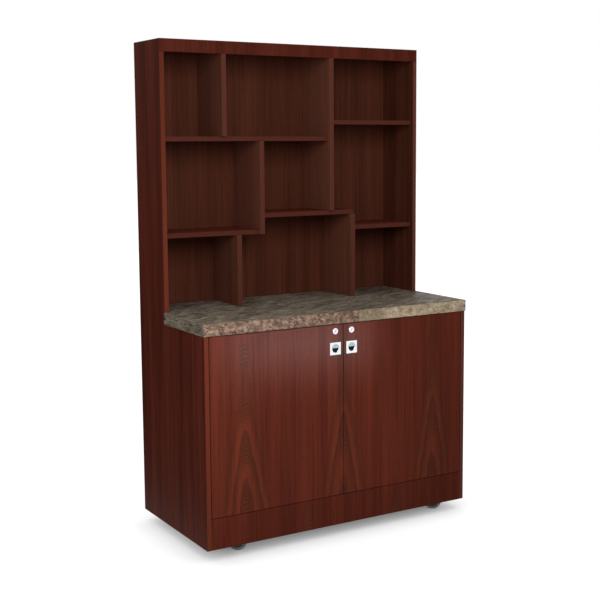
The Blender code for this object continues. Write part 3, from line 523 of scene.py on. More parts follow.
def stone_laminate(name):
    """Stone-look laminate, a printed sheet under a satin seal.

    The top reads grey brown with drawn-out clouds; the front strip reads tan with cream crystals,
    and its two lengths, cut from unlike sheets, meet in a fine upright joint.
    """
    stone = bpy.context.scene.back_bar_stone
    finish, add = new_finish(name)
    place = add("TexCoord")
    spot = place.outputs["Object"]
    normal = add("SeparateXYZ", {"Vector": place.outputs["Normal"]})
    parts = add("SeparateXYZ", {"Vector": spot})

    # The top's sheet is drawn out on a slant, and the same sheet runs along the left edge, a little darker
    # there as painted shade
    stretch, spread = stone.stretch, stone.spread
    drawn = add("Mapping", {"Vector": spot, "Scale": (stretch, spread, spread),
                            "Rotation": (0.0, 0.0, stone.slant)}, vector_type="TEXTURE")
    along = add("Mapping", {"Vector": spot, "Scale": (spread, stretch, 1.0)}, vector_type="TEXTURE")
    end = add("MapRange", {0: normal.outputs["X"], 1: -0.6, 2: -0.8})
    sheet = add("Mix", {0: end, 4: drawn, 5: along}, data_type="VECTOR")
    level = stone_print(add, sheet, stone, "top", stone.top_contrast)
    # Painted shade on the left edge
    painted_end_shade = add("Math", {0: end, 1: stone.end_strength}, operation="MULTIPLY")
    top = add("Mix", {0: painted_end_shade, 6: level, 7: stone.top_dark}, data_type="RGBA")

    # The front strip: two lengths, a dark cloud in the second beside their joint, and the joint's line
    flat = add("Mapping", {"Vector": spot, "Scale": (0.8, 1.1, 1.1)})
    slow = add("Mapping", {"Vector": spot, "Scale": (0.75, 1.1, 1.1), "Location": (0.6, 0.0, 0.0)})
    first = stone_print(add, flat, stone, "edge", stone.edge_contrast)
    second = stone_print(add, slow, stone, "second", stone.second_contrast)
    beyond = add("Math", {0: parts.outputs["X"], 1: stone.joint}, operation="GREATER_THAN")
    cloud = add("MapRange", {0: parts.outputs["X"], 1: stone.joint + 0.7 * stone.shade,
                             2: stone.joint + stone.shade, 3: stone.shade_strength, 4: 0.0})
    shaded = add("Mix", {0: cloud, 6: second, 7: stone.second_dark}, data_type="RGBA")
    edge = add("Mix", {0: beyond, 6: first, 7: shaded}, data_type="RGBA")
    gap = add("Math", {0: parts.outputs["X"], 1: stone.joint, 2: MM}, operation="COMPARE")
    faint = add("Math", {0: gap, 1: stone.joint_strength}, operation="MULTIPLY")
    joined = add("Mix", {0: faint, 6: edge, 7: stone.edge_dark}, data_type="RGBA")

    # The front strip's print turns into the top's within the rounded edge
    front = add("MapRange", {0: normal.outputs["Y"], 1: -0.45, 2: -0.65})
    printed = add("Mix", {0: front, 6: top, 7: joined}, data_type="RGBA")
    grain = add("TexNoise", {"Vector": spot, "Scale": 1 / stone.speck})
    satin = add("MapRange", {0: grain, 3: stone.roughness - STONE_SWING, 4: stone.roughness + STONE_SWING})
    shader = add("BsdfPrincipled", {
        "Base Color": printed, "Roughness": satin, "Specular IOR Level": stone.specular})
    add("OutputMaterial", {"Surface": shader})
    return finish


def plated(name, bright, shade, roughness, size):
    """Plated or blacked steel: a metal whose surface clouds a little over the pressed or turned part.

    The haze is twice as coarse as the spangle, and the blur of the reflections swings with it.
    """
    finish, add = new_finish(name)
    place = add("TexCoord").outputs["Object"]
    cells = add("TexVoronoi", {"Vector": place, "Scale": 1 / size})
    haze = add("TexNoise", {"Vector": place, "Scale": 0.5 / size, "Detail": 3.0})
    cloud = add("Math", {0: cells, 1: haze}, operation="MULTIPLY")
    metal = add("Mix", {0: cloud, 6: bright, 7: shade}, data_type="RGBA")
    blur = add("MapRange", {0: haze, 3: roughness * 0.8, 4: roughness * 1.3})
    shader = add("BsdfPrincipled", {"Base Color": metal, "Roughness": blur, "Metallic": 1.0})
    add("OutputMaterial", {"Surface": shader})
    return finish


def moulded(name, base, roughness, specular):
    """Moulded rubber or plastic: an even colour with the fine dull grain of the mould."""
    finish, add = new_finish(name)
    size = bpy.context.scene.back_bar_metal.mould_grain
    place = add("TexCoord").outputs["Object"]
    grain = add("TexNoise", {"Vector": place, "Scale": 1 / size, "Detail": 4.0})
    mottled = add("Mix", {0: grain, 6: darker(base, MOULD_SHADE), 7: base}, data_type="RGBA")
    relief = add("Bump", {"Height": grain, "Strength": 0.15, "Distance": HAIR})
    shader = add("BsdfPrincipled", {
        "Base Color": mottled, "Roughness": roughness, "Specular IOR Level": specular, "Normal": relief})
    add("OutputMaterial", {"Surface": shader})
    return finish


def chrome():
    """Polished chrome plate: near white, with sharp reflections."""
    metal = bpy.context.scene.back_bar_metal
    return finish_of("polished_chrome_plate", plated, metal.chrome, darker(metal.chrome, PLATE_SHADE),
                     metal.chrome_roughness, metal.spangle)


def satin_plate():
    """Satin plate: a cool grey with a soft, brushed gleam."""
    metal = bpy.context.scene.back_bar_metal
    return finish_of("satin_nickel_plate", plated, metal.satin, darker(metal.satin, PLATE_SHADE),
                     metal.zinc_roughness, metal.spangle)


def zinc():
    """Bright zinc plate: pale grey with a soft spangle."""
    metal = bpy.context.scene.back_bar_metal
    return finish_of("bright_zinc_plate", plated, metal.zinc, metal.zinc_shade,
                     metal.zinc_roughness, metal.spangle)


def black_steel():
    """Oil-blacked steel: near black with a dull gleam; the pivots' own colour, and painted shade on the
    tumblers in the key slots.
    """
    metal = bpy.context.scene.back_bar_metal
    return finish_of("oil_blacked_steel", plated, metal.black_steel, darker(metal.black_steel, STEEL_SHADE),
                     metal.black_steel_roughness, metal.spangle)


def dark_nylon_and_cup_shade():
    """Black nylon: moulded, near black and dull; the bushes' own colour, and painted shade on the shell
    inside each pull cup.
    """
    nylon = bpy.context.scene.back_bar_metal.nylon
    return finish_of("moulded_black_nylon", moulded, nylon, roughness=0.8, specular=0.02)


def grey_rubber():
    """Grey tyre rubber: moulded, soft and dull."""
    rubber = bpy.context.scene.back_bar_metal.rubber
    return finish_of("moulded_grey_rubber", moulded, rubber, roughness=0.7, specular=0.15)


def hub_plastic():
    """Hub plastic: moulded, a harder sheen than the tyre's."""
    plastic = bpy.context.scene.back_bar_metal.hub
    return finish_of("moulded_hub_plastic", moulded, plastic, roughness=0.45, specular=0.3)


def paint(nodes, finish):
    """Give solids of the frame a finish."""
    for name in nodes:
        for slot in frame["nodes"][name].material_slots:
            slot.material = finish


# Meshes

def make_piece(name, shape, finish, body, replaced=()):
    """Turn a bmesh into a finished piece that rides on a body."""
    bmesh.ops.remove_doubles(shape, verts=shape.verts, dist=WELD)
    bmesh.ops.recalc_face_normals(shape, faces=shape.faces)
    mesh = bpy.data.meshes.new(name)
    shape.to_mesh(mesh)
    shape.free()
    mesh.materials.append(finish)
    return settle(name, mesh, body, replaced)


def settle(name, mesh, body, replaced=()):
    """Shade a mesh, put it in the scene and tie it to its body."""
    mesh.shade_smooth()
    mesh.set_sharp_from_angle(angle=SHARP)
    piece = bpy.data.objects.new(name, mesh)
    bpy.context.scene.collection.objects.link(piece)
    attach(piece, body)
    if replaced:
        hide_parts(*replaced)
    return piece


def loft(rings, closed=False):
    """A bmesh skin through rings of as many points each, capped at both ends or closed on itself."""
    shape = bmesh.new()
    rows = [[shape.verts.new(point) for point in ring] for ring in rings]
    pairs = list(zip(rows, rows[1:]))
    if closed:
        pairs.append((rows[-1], rows[0]))
    count = len(rows[0])
    for lower, upper in pairs:
        for step in range(count):
            after = (step + 1) % count
            shape.faces.new((lower[step], lower[after], upper[after], upper[step]))
    if not closed:
        shape.faces.new(rows[0])
        shape.faces.new(rows[-1])
    return shape


def full_turn():
    """The angles of the sides of a turned piece."""
    sides = bpy.context.scene.back_bar_hardware.sides
    return [math.tau * step / sides for step in range(sides)]


def stand(origin, axis):
    """A matrix that stands local Z along an axis at a place."""
    return Matrix.Translation(origin) @ Vector(axis).to_track_quat("Z", "Y").to_matrix().to_4x4()


def turned(profile, place, closed=False):
    """A turned piece from (radius, height) points about local Z, set in place."""
    turns = full_turn()
    rings = [[place @ Vector((radius * math.cos(a), radius * math.sin(a), height)) for a in turns]
             for radius, height in profile]
    return loft(rings, closed)


def round_corner(centre, radius, start, end, steps=5):
    """Points of a rounded corner of a profile, its angles in degrees."""
    turns = [math.radians(start + (end - start) * step / steps) for step in range(steps + 1)]
    return [(centre[0] + radius * math.cos(a), centre[1] + radius * math.sin(a)) for a in turns]


def refined(node, finish, body, width):
    """A finer copy of a solid: its facets merged and its outer edges rounded."""
    shape = bmesh.new()
    shape.from_mesh(frame["nodes"][node].data)
    bmesh.ops.remove_doubles(shape, verts=shape.verts, dist=WELD)
    bmesh.ops.dissolve_limit(shape, angle_limit=FLAT, verts=shape.verts, edges=shape.edges)
    outer = [edge for edge in shape.edges
             if edge.is_manifold and edge.is_convex and edge.calc_face_angle() > OUTER]
    bmesh.ops.bevel(shape, geom=outer, offset=width, offset_type="OFFSET", affect="EDGES",
                    segments=2, profile=0.5, clamp_overlap=True)
    return make_piece(f"{node}_finish", shape, finish, body, (node,))


# Operators

class BACKBAR_OT_boards(bpy.types.Operator):
    """Give every board its mahogany laminate with the grain the right way"""

    bl_idname = "backbar.boards"
    bl_label = "Boards"

    def execute(self, context):
        wood = context.scene.back_bar_wood
        paint(DOORS, finish_of("mahogany_laminate_doors", mahogany, crown=DOOR_CROWN))
        # Painted shade: the plinth's tone is pulled to the dark grain for the dimmer light at the foot
        plinth = finish_of("mahogany_laminate_plinth", mahogany, crown=PLINTH_CROWN, shade=0.15)
        paint(("plinth_panel",), plinth)
        # Painted shade: the inner faces of the end panels take the duller inner colours
        for (node, inside), band in zip(ENDS.items(), (wood.left_band, wood.right_band)):
            paint((node,), finish_of(f"mahogany_laminate_{node}", mahogany, band=band,
                                     inside=inside, spread=0.2))
        # Painted light: the uprights take the lighter upright colours, pulled further to the light grain
        paint(DIVIDERS, finish_of("mahogany_laminate_dividers", mahogany, band=wood.band,
                                  inside=0, sheet="upright", shade=-0.3))
        # Painted shade: the backs take the duller inner colours, pulled a little to the dark grain
        paint(BACKS, finish_of("mahogany_laminate_backs", mahogany, inside=0, shade=0.05))
        # Painted shade: the fascia's tone is pulled to the dark grain for the dimmer light at the top
        paint(("hutch_fascia",), finish_of("mahogany_laminate_fascia", mahogany, shade=0.12))
        paint(LEVEL_BOARDS, finish_of("mahogany_laminate_shelves", mahogany, grain="X", band=wood.band))
        return {"FINISHED"}


class BACKBAR_OT_worktop(bpy.types.Operator):
    """Cover the worktop with stone-look laminate"""

    bl_idname = "backbar.worktop"
    bl_label = "Worktop"

    def execute(self, context):
        paint(("countertop",), finish_of("stone_look_laminate", stone_laminate))
        return {"FINISHED"}


class BACKBAR_OT_locks(bpy.types.Operator):
    """Build the cam locks: flanged barrel, slotted plug, cam and lock nut"""

    bl_idname = "backbar.locks"
    bl_label = "Locks"

    def execute(self, context):
        hardware = context.scene.back_bar_hardware
        barrel = hardware.lock_barrel / 2
        for side in SIDES:
            leaf = f"{side}_door_leaf"
            core = f"{side}_lock_core"
            low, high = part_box(f"{side}_lock_barrel")
            door_low, door_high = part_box(f"{side}_door")
            plug_low, plug_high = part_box(f"{side}_lock_plug")
            place = stand(((low.x + high.x) / 2, 0.0, (low.z + high.z) / 2), (0, -1, 0))
            flange = (high.x - low.x) / 2
            bore = (plug_high.x - plug_low.x) / 2 + HAIR
            front, face, rear = -low.y, HAIR - door_low.y, -high.y
            dome = hardware.lock_dome
            profile = [(bore, rear), (bore, front - HAIR), (bore + HAIR, front)]
            profile += round_corner((flange - dome, front - dome), dome, 90, 0)
            profile += [(flange, face), (barrel, face), (barrel, rear)]
            make_piece(f"{side}_lock_barrel_finish", turned(profile, place, closed=True), chrome(),
                       leaf, (f"{side}_lock_barrel",))
            refined(f"{side}_lock_plug", chrome(), core, hardware.fine_round)
            refined(f"{side}_lock_cam", zinc(), core, hardware.edge_round)
            # Painted shade in part: real tumblers in the key slot, made black to stand for the dark of the
            # slot
            self.wafers(side, place, front, hardware)
            back = -door_high.y - HAIR
            nut = self.nut(place, barrel + HAIR, hardware.nut_width / 2, back - hardware.nut_height, back)
            make_piece(f"{side}_lock_nut", nut, zinc(), leaf)
        return {"FINISHED"}

    def wafers(self, side, place, front, hardware):
        """The tumblers at the bottom of the key slot, made black as painted shade for the dark of the slot.
        """
        half_width = hardware.key_slot_width / 2 - HAIR
        half_length = hardware.key_slot / 2 - HAIR
        corners = ((-1, -1), (1, -1), (1, 1), (-1, 1))
        rings = [[place @ Vector((x * half_width, z * half_length, height)) for x, z in corners]
                 for height in (front - hardware.key_slot_depth + HAIR, front - 2 * HAIR)]
        make_piece(f"{side}_lock_wafers", loft(rings), black_steel(), f"{side}_lock_core")

    def nut(self, place, bore, corner, low, high):
        """A thin hexagon nut round a barrel."""
        sector = math.tau / 6
        turns = full_turn()
        flat = corner * math.cos(sector / 2)
        reaches = [flat / math.cos(turn % sector - sector / 2) for turn in turns]
        rings = []
        for height, outer in ((low, False), (low, True), (high, True), (high, False)):
            radii = reaches if outer else [bore] * len(turns)
            rings.append([place @ Vector((r * math.cos(a), r * math.sin(a), height))
                          for a, r in zip(turns, radii)])
        return loft(rings, closed=True)


class BACKBAR_OT_pulls(bpy.types.Operator):
    """Build the flush pulls: a square plate with a round dish and a half-moon mouth over a cup, made dark
    inside by a black shell of painted shade
    """

    bl_idname = "backbar.pulls"
    bl_label = "Flush pulls"

    def execute(self, context):
        hardware = context.scene.back_bar_hardware
        for side in SIDES:
            low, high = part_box(f"{side}_pull")
            leaf = f"{side}_door_leaf"
            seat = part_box(f"{side}_door")[0].y - HAIR
            half = (high.x - low.x) / 2
            body, face, shade_shell = self.rows(hardware, half, low.y, seat, high.y)
            middle = (low + high) / 2
            eye = hardware.mouth_top - hardware.mouth_height / 2
            brow = (hardware.mouth_top + hardware.dish / 2) / 2
            make_piece(f"{side}_pull_finish", self.skin(body, middle, eye, half, hardware), chrome(),
                       leaf, (f"{side}_pull",))
            make_piece(f"{side}_pull_face", self.skin(face, middle, brow, half, hardware), satin_plate(),
                       leaf)
            # Painted shade: a black shell inside the cup stands for the dark of its hollow
            make_piece(f"{side}_pull_lining", self.skin(shade_shell, middle, eye, half, hardware), dark_nylon_and_cup_shade(),
                       leaf)
        return {"FINISHED"}

    def rows(self, hardware, half, front, seat, rear):
        """Outlines and depths of the body, of the satin face over the mouth and of the black shell inside the
        cup, which is painted shade.
        """
        wide, tall = hardware.mouth_width / 2, hardware.mouth_height
        top, lip, wall = hardware.mouth_top, hardware.lip, hardware.cup_wall
        bend = hardware.edge_round
        half_cup, tall_cup = hardware.cup_width / 2, hardware.cup_height / 2

        def rounded(x, z, half_width, half_height, corner):
            past_x = max(abs(x) - half_width + corner, 0)
            past_z = max(abs(z) - half_height + corner, 0)
            return math.hypot(past_x, past_z) < corner

        def plate(inset):
            return lambda x, z: rounded(x, z, half - inset, half - inset, hardware.plate_corner - inset)

        def cup(inset):
            return lambda x, z: rounded(x, z, half_cup - inset, tall_cup - inset, hardware.cup_corner - inset)

        def dish(spare):
            return lambda x, z: math.hypot(x, z) < hardware.dish / 2 + spare

        def mouth(spare):
            def moon(x, z):
                return math.hypot(x / (wide + spare), min(z - top, 0) / (tall + spare)) < 1

            return lambda x, z: z < top + spare and moon(x, z)

        def brow(inset):
            return lambda x, z: z > top + lip + inset and math.hypot(x, z) < hardware.dish / 2 - inset

        floor = front + hardware.dish_depth
        body = [(cup(0), rear), (cup(0), seat), (plate(0), seat)]
        body += [(plate(inset), y) for inset, y in round_corner((bend, front + bend), bend, 180, 270)]
        body += [(plate(bend + HAIR), front), (dish(HAIR), front), (dish(0), floor), (mouth(lip), floor)]
        body += [(mouth(lip / 3), floor + HAIR), (mouth(0), floor + 2 * HAIR), (mouth(0), seat)]
        body += [(cup(wall), seat), (cup(wall), rear - wall)]
        face = [(brow(HAIR), floor - HAIR / 10), (brow(HAIR), floor - HAIR)]
        face += [(brow(2 * HAIR), floor - 1.5 * HAIR)]
        # The black shell of painted shade, just inside the cup's wall
        spare = wall + HAIR
        shade_shell = [(cup(spare), rear - spare), (cup(spare), seat + HAIR), (cup(spare + HAIR), seat + HAIR),
                  (cup(spare + HAIR), rear - spare - HAIR)]
        return body, face, shade_shell

    def skin(self, rows, middle, eye, half, hardware):
        """Skin outlines seen from one point, found along rays that also meet the corners."""
        inner = half - hardware.plate_corner
        bend = round_corner((inner, inner), hardware.plate_corner, 0, 90)
        points = [(x * sign_x, z * sign_z) for x, z in bend for sign_x in (-1, 1) for sign_z in (-1, 1)]
        points += [(sign * hardware.mouth_width / 2, hardware.mouth_top) for sign in (-1, 1)]
        corners = [math.atan2(z - eye, x) for x, z in points]
        turns = sorted({round(turn % math.tau, 6) for turn in corners + full_turn()})
        rings = []
        for inside, y in rows:
            ring = []
            for turn in turns:
                reach = self.reach(turn, eye, inside, 2 * half)
                x = middle.x + reach * math.cos(turn)
                ring.append(Vector((x, y, middle.z + eye + reach * math.sin(turn))))
            rings.append(ring)
        return loft(rings)

    def reach(self, turn, eye, inside, furthest):
        """How far a ray goes before it leaves an outline, found by halving."""
        near, far = 0.0, furthest
        for halving in range(HALVINGS):
            guess = (near + far) / 2
            if inside(guess * math.cos(turn), eye + guess * math.sin(turn)):
                near = guess
            else:
                far = guess
        return near


class BACKBAR_OT_fittings(bpy.types.Operator):
    """Finish the pivots, bushes and shelf pins"""

    bl_idname = "backbar.fittings"
    bl_label = "Pivots and pins"

    def execute(self, context):
        width = context.scene.back_bar_hardware.edge_round
        for side in SIDES:
            for level in DOOR_ENDS:
                refined(f"{side}_{level}_pivot", black_steel(), "carcass", width)
                refined(f"{side}_{level}_bush", dark_nylon_and_cup_shade(), f"{side}_door_leaf", width)
        for corner in CORNERS:
            refined(f"shelf_pin_{corner}", zinc(), "carcass", width)
        return {"FINISHED"}


class BACKBAR_OT_casters(bpy.types.Operator):
    """Build the casters: top plate, fork, axle bolt, tyre and hub"""

    bl_idname = "backbar.casters"
    bl_label = "Casters"

    def execute(self, context):
        hardware = context.scene.back_bar_hardware
        hub = self.hub(hardware)
        for corner in CORNERS:
            swivel = f"swivel_{corner}"
            roller = f"roller_{corner}"
            for piece, body in (("plate", "carcass"), ("fork", swivel), ("axle", swivel)):
                refined(f"caster_{piece}_{corner}", zinc(), body, hardware.edge_round)
            spin = JOINTS[f"wheel_{corner}_spin"]
            place = stand(spin["pos_m"], spin["axis"])
            tyre = self.tyre(hardware, spin["pos_m"][2])
            make_piece(f"caster_tyre_{corner}", turned(tyre, place, closed=True), grey_rubber(),
                       roller, (f"caster_wheel_{corner}",))
            make_piece(f"caster_hub_{corner}", turned(hub, place, closed=True), hub_plastic(),
                       roller)
        return {"FINISHED"}

    def tyre(self, hardware, radius):
        """The tyre's outline: a tread with round shoulders, down to the rim."""
        half = hardware.tyre_width / 2
        bend = hardware.tyre_round
        side = [(hardware.rim / 2, half)] + round_corner((radius - bend, half - bend), bend, 90, 0)
        return side + [(r, -y) for r, y in reversed(side)]

    def hub(self, hardware):
        """The hub's outline: a stout boss, a thin web and a raised rim inside the tyre."""
        boss = hardware.hub_width / 2
        round_boss = hardware.hub_boss / 2
        rim = hardware.rim / 2
        web = hardware.tyre_width / 4
        lip = hardware.tyre_width / 2 - hardware.rim_inset
        inner = rim - hardware.rim_wall
        side = [(hardware.hub_bore / 2, boss), (round_boss - MM, boss), (round_boss, boss - MM),
                (round_boss + 1.5 * MM, web), (inner - MM, web), (inner, lip), (rim, lip)]
        return side + [(r, -y) for r, y in reversed(side)]


def fastener_tree(name, sides, recess):
    """Heads of screws or bolts on points, each turned the way its point aims."""
    tree = bpy.data.node_groups.new(name, "GeometryNodeTree")
    add = partial(add_node, tree)
    for label, kind in (("Geometry", "Geometry"), ("Head width", "Float"), ("Head rise", "Float"),
                        ("Finish", "Material")):
        tree.interface.new_socket(label, in_out="INPUT", socket_type=f"NodeSocket{kind}")
    tree.interface.new_socket("Geometry", in_out="OUTPUT", socket_type="NodeSocketGeometry")
    start = add("NodeGroupInput")
    width = start.outputs["Head width"]
    rise = start.outputs["Head rise"]
    foot = add("Math", {0: width, 1: 0.5}, operation="MULTIPLY")
    crown = add("Math", {0: width, 1: HEAD_CROWN}, operation="MULTIPLY")
    head = add("GeometryNodeMeshCone", {
        "Vertices": sides, "Radius Top": crown, "Radius Bottom": foot, "Depth": rise})
    if recess:
        arm = add("Math", {0: width, 1: RECESS_REACH}, operation="MULTIPLY")
        slim = add("Math", {0: width, 1: RECESS_WIDTH}, operation="MULTIPLY")
        size = add("CombineXYZ", {"X": arm, "Y": slim, "Z": rise})
        bar = add("GeometryNodeMeshCube", {"Size": size})
        lift = add("CombineXYZ", {"Z": rise})
        first = add("GeometryNodeTransform", {"Geometry": bar, "Translation": lift})
        second = add("GeometryNodeTransform", {"Geometry": first, "Rotation": (0.0, 0.0, math.pi / 2)})
        for cutter in (first, second):
            head = add("GeometryNodeMeshBoolean", {"Mesh 1": head, "Mesh 2": cutter}, operation="DIFFERENCE")
    aim = add("GeometryNodeInputNamedAttribute", {"Name": "aim"}, data_type="FLOAT_VECTOR")
    turn = add("FunctionNodeAlignRotationToVector", {"Vector": aim.outputs["Attribute"]}, axis="Z")
    heads = add("GeometryNodeInstanceOnPoints", {
        "Points": start.outputs["Geometry"], "Instance": head, "Rotation": turn})
    real = add("GeometryNodeRealizeInstances", {"Geometry": heads})
    done = add("GeometryNodeSetMaterial", {"Geometry": real, "Material": start.outputs["Finish"]})
    add("NodeGroupOutput", {"Geometry": done})
    return tree


def fasteners(name, tree, width, rise, finish, spots, body):
    """Set the heads of a tree on (place, aim) spots and keep them as one plain mesh."""
    points = bpy.data.meshes.new(f"{name}_points")
    points.from_pydata([tuple(place) for place, aim in spots], [], [])
    aims = points.attributes.new("aim", "FLOAT_VECTOR", "POINT")
    for entry, (place, aim) in zip(aims.data, spots):
        entry.vector = aim
    carrier = bpy.data.objects.new(f"{name}_points", points)
    bpy.context.scene.collection.objects.link(carrier)
    modifier = carrier.modifiers.new("heads", "NODES")
    modifier.node_group = tree
    sockets = {item.name: item.identifier for item in tree.interface.items_tree if item.in_out == "INPUT"}
    modifier[sockets["Head width"]] = width
    modifier[sockets["Head rise"]] = rise
    modifier[sockets["Finish"]] = finish
    graph = bpy.context.evaluated_depsgraph_get()
    mesh = bpy.data.meshes.new_from_object(carrier.evaluated_get(graph))
    mesh.name = name
    carrier.modifiers.remove(modifier)
    bpy.data.objects.remove(carrier)
    bpy.data.meshes.remove(points)
    return settle(name, mesh, body)


class BACKBAR_OT_fasteners(bpy.types.Operator):
    """Set the screws of the backs and pivots, the caster bolts and the nuts of the lock cams"""

    bl_idname = "backbar.fasteners"
    bl_label = "Screws and bolts"

    def execute(self, context):
        hardware = context.scene.back_bar_hardware
        screws = fastener_tree("cross_head_screws", sides=20, recess=True)
        bolts = fastener_tree("hexagon_heads", sides=6, recess=False)
        fasteners("back_screws", screws, hardware.screw_head, hardware.screw_rise, zinc(),
                  self.back_spots(hardware), "carcass")
        fasteners("pivot_screws", screws, hardware.pivot_screw, hardware.pivot_screw_rise, black_steel(),
                  self.pivot_spots(hardware), "carcass")
        fasteners("caster_bolts", bolts, hardware.bolt_head, hardware.bolt_rise, zinc(),
                  self.bolt_spots(hardware), "carcass")
        for side in SIDES:
            low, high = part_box(f"{side}_lock_plug")
            spot = Vector(((low.x + high.x) / 2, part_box(f"{side}_lock_cam")[1].y, (low.z + high.z) / 2))
            fasteners(f"{side}_cam_nut", bolts, hardware.cam_nut, hardware.cam_nut_rise, zinc(),
                      [(spot, (0, 1, 0))], f"{side}_lock_core")
        return {"FINISHED"}

    def back_spots(self, hardware):
        """Screws round the rear faces of the two backs."""
        spots = []
        inset = hardware.screw_inset
        for node in BACKS:
            low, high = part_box(node)
            columns = max(1, round((high.x - low.x) / hardware.screw_spacing))
            rows = max(1, round((high.z - low.z) / hardware.screw_spacing))
            for column in range(columns + 1):
                x = low.x + inset + (high.x - low.x - 2 * inset) * column / columns
                for row in range(rows + 1):
                    if column in (0, columns) or row in (0, rows):
                        z = low.z + inset + (high.z - low.z - 2 * inset) * row / rows
                        spots.append((Vector((x, high.y, z)), (0, 1, 0)))
        return spots

    def pivot_spots(self, hardware):
        """Two screws beside the pin on each pivot plate."""
        spots = []
        for side in SIDES:
            for level, up in DOOR_ENDS.items():
                low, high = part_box(f"{side}_{level}_pivot")
                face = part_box("plinth_panel")[1].z if level == "bottom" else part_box("countertop")[0].z
                for spread in (-hardware.pivot_screw_spread, hardware.pivot_screw_spread):
                    place = Vector(((low.x + high.x) / 2 + spread, (low.y + high.y) / 2, face))
                    spots.append((place, (0, 0, up)))
        return spots

    def bolt_spots(self, hardware):
        """Bolts through the corners of the caster plates."""
        spots = []
        spread = hardware.bolt_spread / 2
        for corner in CORNERS:
            low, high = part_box(f"caster_plate_{corner}")
            middle = (low + high) / 2
            for x in (-spread, spread):
                for y in (-spread, spread):
                    spots.append((Vector((middle.x + x, middle.y + y, high.z - hardware.plate)), (0, 0, -1)))
        return spots


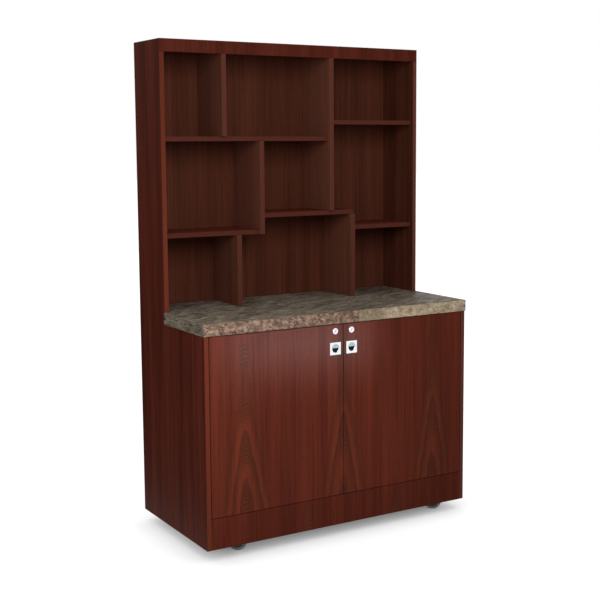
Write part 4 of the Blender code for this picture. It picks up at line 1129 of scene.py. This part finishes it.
class BACKBAR_OT_stage(bpy.types.Operator):
    """Set the floor, the light and the camera"""

    bl_idname = "backbar.stage"
    bl_label = "Stage"

    def execute(self, context):
        stage = context.scene.back_bar_stage
        nodes = frame["nodes"]
        casters = [piece for piece in context.scene.objects if piece.name.startswith("caster_")]
        bays = [nodes[name] for name in BAYS]
        self.world(context, stage)
        floor = self.floor(stage)
        self.card(stage)
        lamps = {name: self.lamp(name, lamp, stage) for name, lamp in LAMPS.items()}
        for name in BODY_LAMPS:
            self.aim_only(lamps[name], [floor, *bays], "EXCLUDE")
        self.aim_only(lamps["shelf"], bays)
        self.aim_only(lamps["strip"], [nodes[name] for name in DOORS])
        self.aim_only(lamps["foot"], casters)
        strip = lamps["strip"].data
        strip.shape = "RECTANGLE"
        strip.size_y = stage.strip_height
        strip.spread = stage.strip_spread
        strip.color = stage.strip_tint
        self.overhead(stage, floor, [nodes["base_bottom_panel"], *casters])
        self.camera(context, stage)
        context.scene.view_settings.view_transform = "Standard"
        return {"FINISHED"}

    def seen(self, add):
        """One where the camera, a mirror or glass looks, and nought for the light that falls on things."""
        rays = add("LightPath").outputs
        first = add("Math", {0: rays["Is Camera Ray"], 1: rays["Is Glossy Ray"]}, operation="MAXIMUM")
        return add("Math", {0: first, 1: rays["Is Transmission Ray"]}, operation="MAXIMUM")

    def world(self, context, stage):
        """White to look at, an even soft light on the object."""
        world = bpy.data.worlds.new("studio")
        context.scene.world = world
        world.use_nodes = True
        world.node_tree.nodes.clear()
        add = partial(add_node, world.node_tree)
        strength = add("MapRange", {0: self.seen(add), 3: stage.ambient, 4: 1.0})
        white = add("Background", {"Color": (1.0, 1.0, 1.0), "Strength": strength})
        add("OutputWorld", {"Surface": white})

    def sheet(self, name, half, place, finish):
        """A flat square sheet of the studio, which is no part of the object."""
        shape = bmesh.new()
        bmesh.ops.create_grid(shape, x_segments=1, y_segments=1, size=half, matrix=place)
        mesh = bpy.data.meshes.new(name)
        shape.to_mesh(mesh)
        shape.free()
        mesh.materials.append(finish)
        piece = bpy.data.objects.new(name, mesh)
        bpy.context.scene.collection.objects.link(piece)
        return piece

    def floor(self, stage):
        """A wide sheet of pale paper that takes the shadow."""
        finish, add = new_finish("pale_paper")
        seen = self.seen(add)
        grey = add("MapRange", {0: seen, 3: stage.floor_bounce, 4: stage.floor})
        dull = add("BsdfDiffuse", {"Color": grey})
        white = add("Math", {0: seen, 1: stage.floor_white}, operation="MULTIPLY")
        glow = add("Emission", {"Strength": white})
        both = add("AddShader", {0: dull, 1: glow})
        add("OutputMaterial", {"Surface": both})
        return self.sheet("paper_floor", FLOOR_HALF, Matrix(), finish)

    def card(self, stage):
        """A black card on the left, seen in reflections alone, that keeps glare off the side."""
        finish, add = new_finish("black_card")
        dull = add("BsdfDiffuse", {"Color": stage.card})
        add("OutputMaterial", {"Surface": dull})
        card = self.sheet("black_card", CARD_HALF, stand(CARD_PLACE, CARD_FACE), finish)
        card.visible_camera = False
        card.visible_diffuse = False
        card.visible_shadow = False

    def lamp(self, name, spec, stage):
        """A square soft lamp aimed at a point, its power and width from the settings."""
        light = bpy.data.lights.new(f"{name}_lamp", "AREA")
        light.energy = getattr(stage, name)
        light.size = getattr(stage, spec.width)
        lamp = bpy.data.objects.new(f"{name}_lamp", light)
        lamp.location = spec.place
        lamp.rotation_euler = (Vector(spec.target) - Vector(spec.place)).to_track_quat("-Z", "Y").to_euler()
        lamp.visible_camera = False
        bpy.context.scene.collection.objects.link(lamp)
        return lamp

    def aim_only(self, lamp, objects, state="INCLUDE"):
        """Let a lamp light these objects alone, or all but these."""
        chosen = bpy.data.collections.new(f"{lamp.name}_{state.lower()}s")
        for entry in objects:
            chosen.objects.link(entry)
        for entry in chosen.collection_objects:
            entry.light_linking.link_state = state
        lamp.light_linking.receiver_collection = chosen

    def overhead(self, stage, floor, stops):
        """A broad light straight down on the floor alone; the low pieces give the soft shadow at the foot."""
        light = bpy.data.lights.new("overhead", "SUN")
        light.energy = stage.floor_lamp
        light.angle = stage.floor_softness
        lamp = bpy.data.objects.new("overhead", light)
        bpy.context.scene.collection.objects.link(lamp)
        self.aim_only(lamp, [floor])
        shades = bpy.data.collections.new("overhead_stops")
        for piece in stops:
            shades.objects.link(piece)
        lamp.light_linking.blocker_collection = shades

    def camera(self, context, stage):
        """The photograph's view: from the left, a little above the worktop."""
        lens = bpy.data.cameras.new("photo_view")
        lens.lens = stage.lens
        lens.sensor_width = SENSOR
        lens.shift_x = stage.shift_x
        lens.shift_y = stage.shift_y
        camera = bpy.data.objects.new("photo_view", lens)
        turn = Matrix.Rotation(-stage.azimuth, 3, "Z")
        tilt = Matrix.Rotation(math.pi / 2 - stage.elevation, 3, "X")
        camera.rotation_euler = (turn @ tilt @ Matrix.Rotation(stage.roll, 3, "Z")).to_euler()
        camera.location = CAMERA_PLACE
        context.scene.collection.objects.link(camera)
        context.scene.camera = camera


class BACKBAR_PT_panel(bpy.types.Panel):
    """Lists the steps and settings of the cabinet's looks"""

    bl_idname = "BACKBAR_PT_panel"
    bl_label = "Back Bar"
    bl_space_type = "VIEW_3D"
    bl_region_type = "UI"
    bl_category = "Back Bar"

    def draw(self, context):
        for step in STEPS:
            self.layout.operator(step.bl_idname)
        for name, group in GROUPS.items():
            box = self.layout.box()
            box.label(text=group.__doc__)
            for field in group.__annotations__:
                box.prop(getattr(context.scene, name), field)


STEPS = (
    BACKBAR_OT_boards, BACKBAR_OT_worktop, BACKBAR_OT_locks, BACKBAR_OT_pulls, BACKBAR_OT_fittings,
    BACKBAR_OT_casters, BACKBAR_OT_fasteners, BACKBAR_OT_stage,
)
CLASSES = (*GROUPS.values(), *STEPS, BACKBAR_PT_panel)


def register():
    """Register the classes and give the scene its settings."""
    for cls in CLASSES:
        bpy.utils.register_class(cls)
    for name, group in GROUPS.items():
        setattr(bpy.types.Scene, name, PointerProperty(type=group))


def unregister():
    """Take the settings and the classes away again."""
    for name in GROUPS:
        delattr(bpy.types.Scene, name)
    for cls in reversed(CLASSES):
        bpy.utils.unregister_class(cls)


def main():
    """Build the looks in order."""
    register()
    bpy.ops.backbar.boards()
    bpy.ops.backbar.worktop()
    bpy.ops.backbar.locks()
    bpy.ops.backbar.pulls()
    bpy.ops.backbar.fittings()
    bpy.ops.backbar.casters()
    bpy.ops.backbar.fasteners()
    bpy.ops.backbar.stage()


if __name__ == "__main__":
    main()
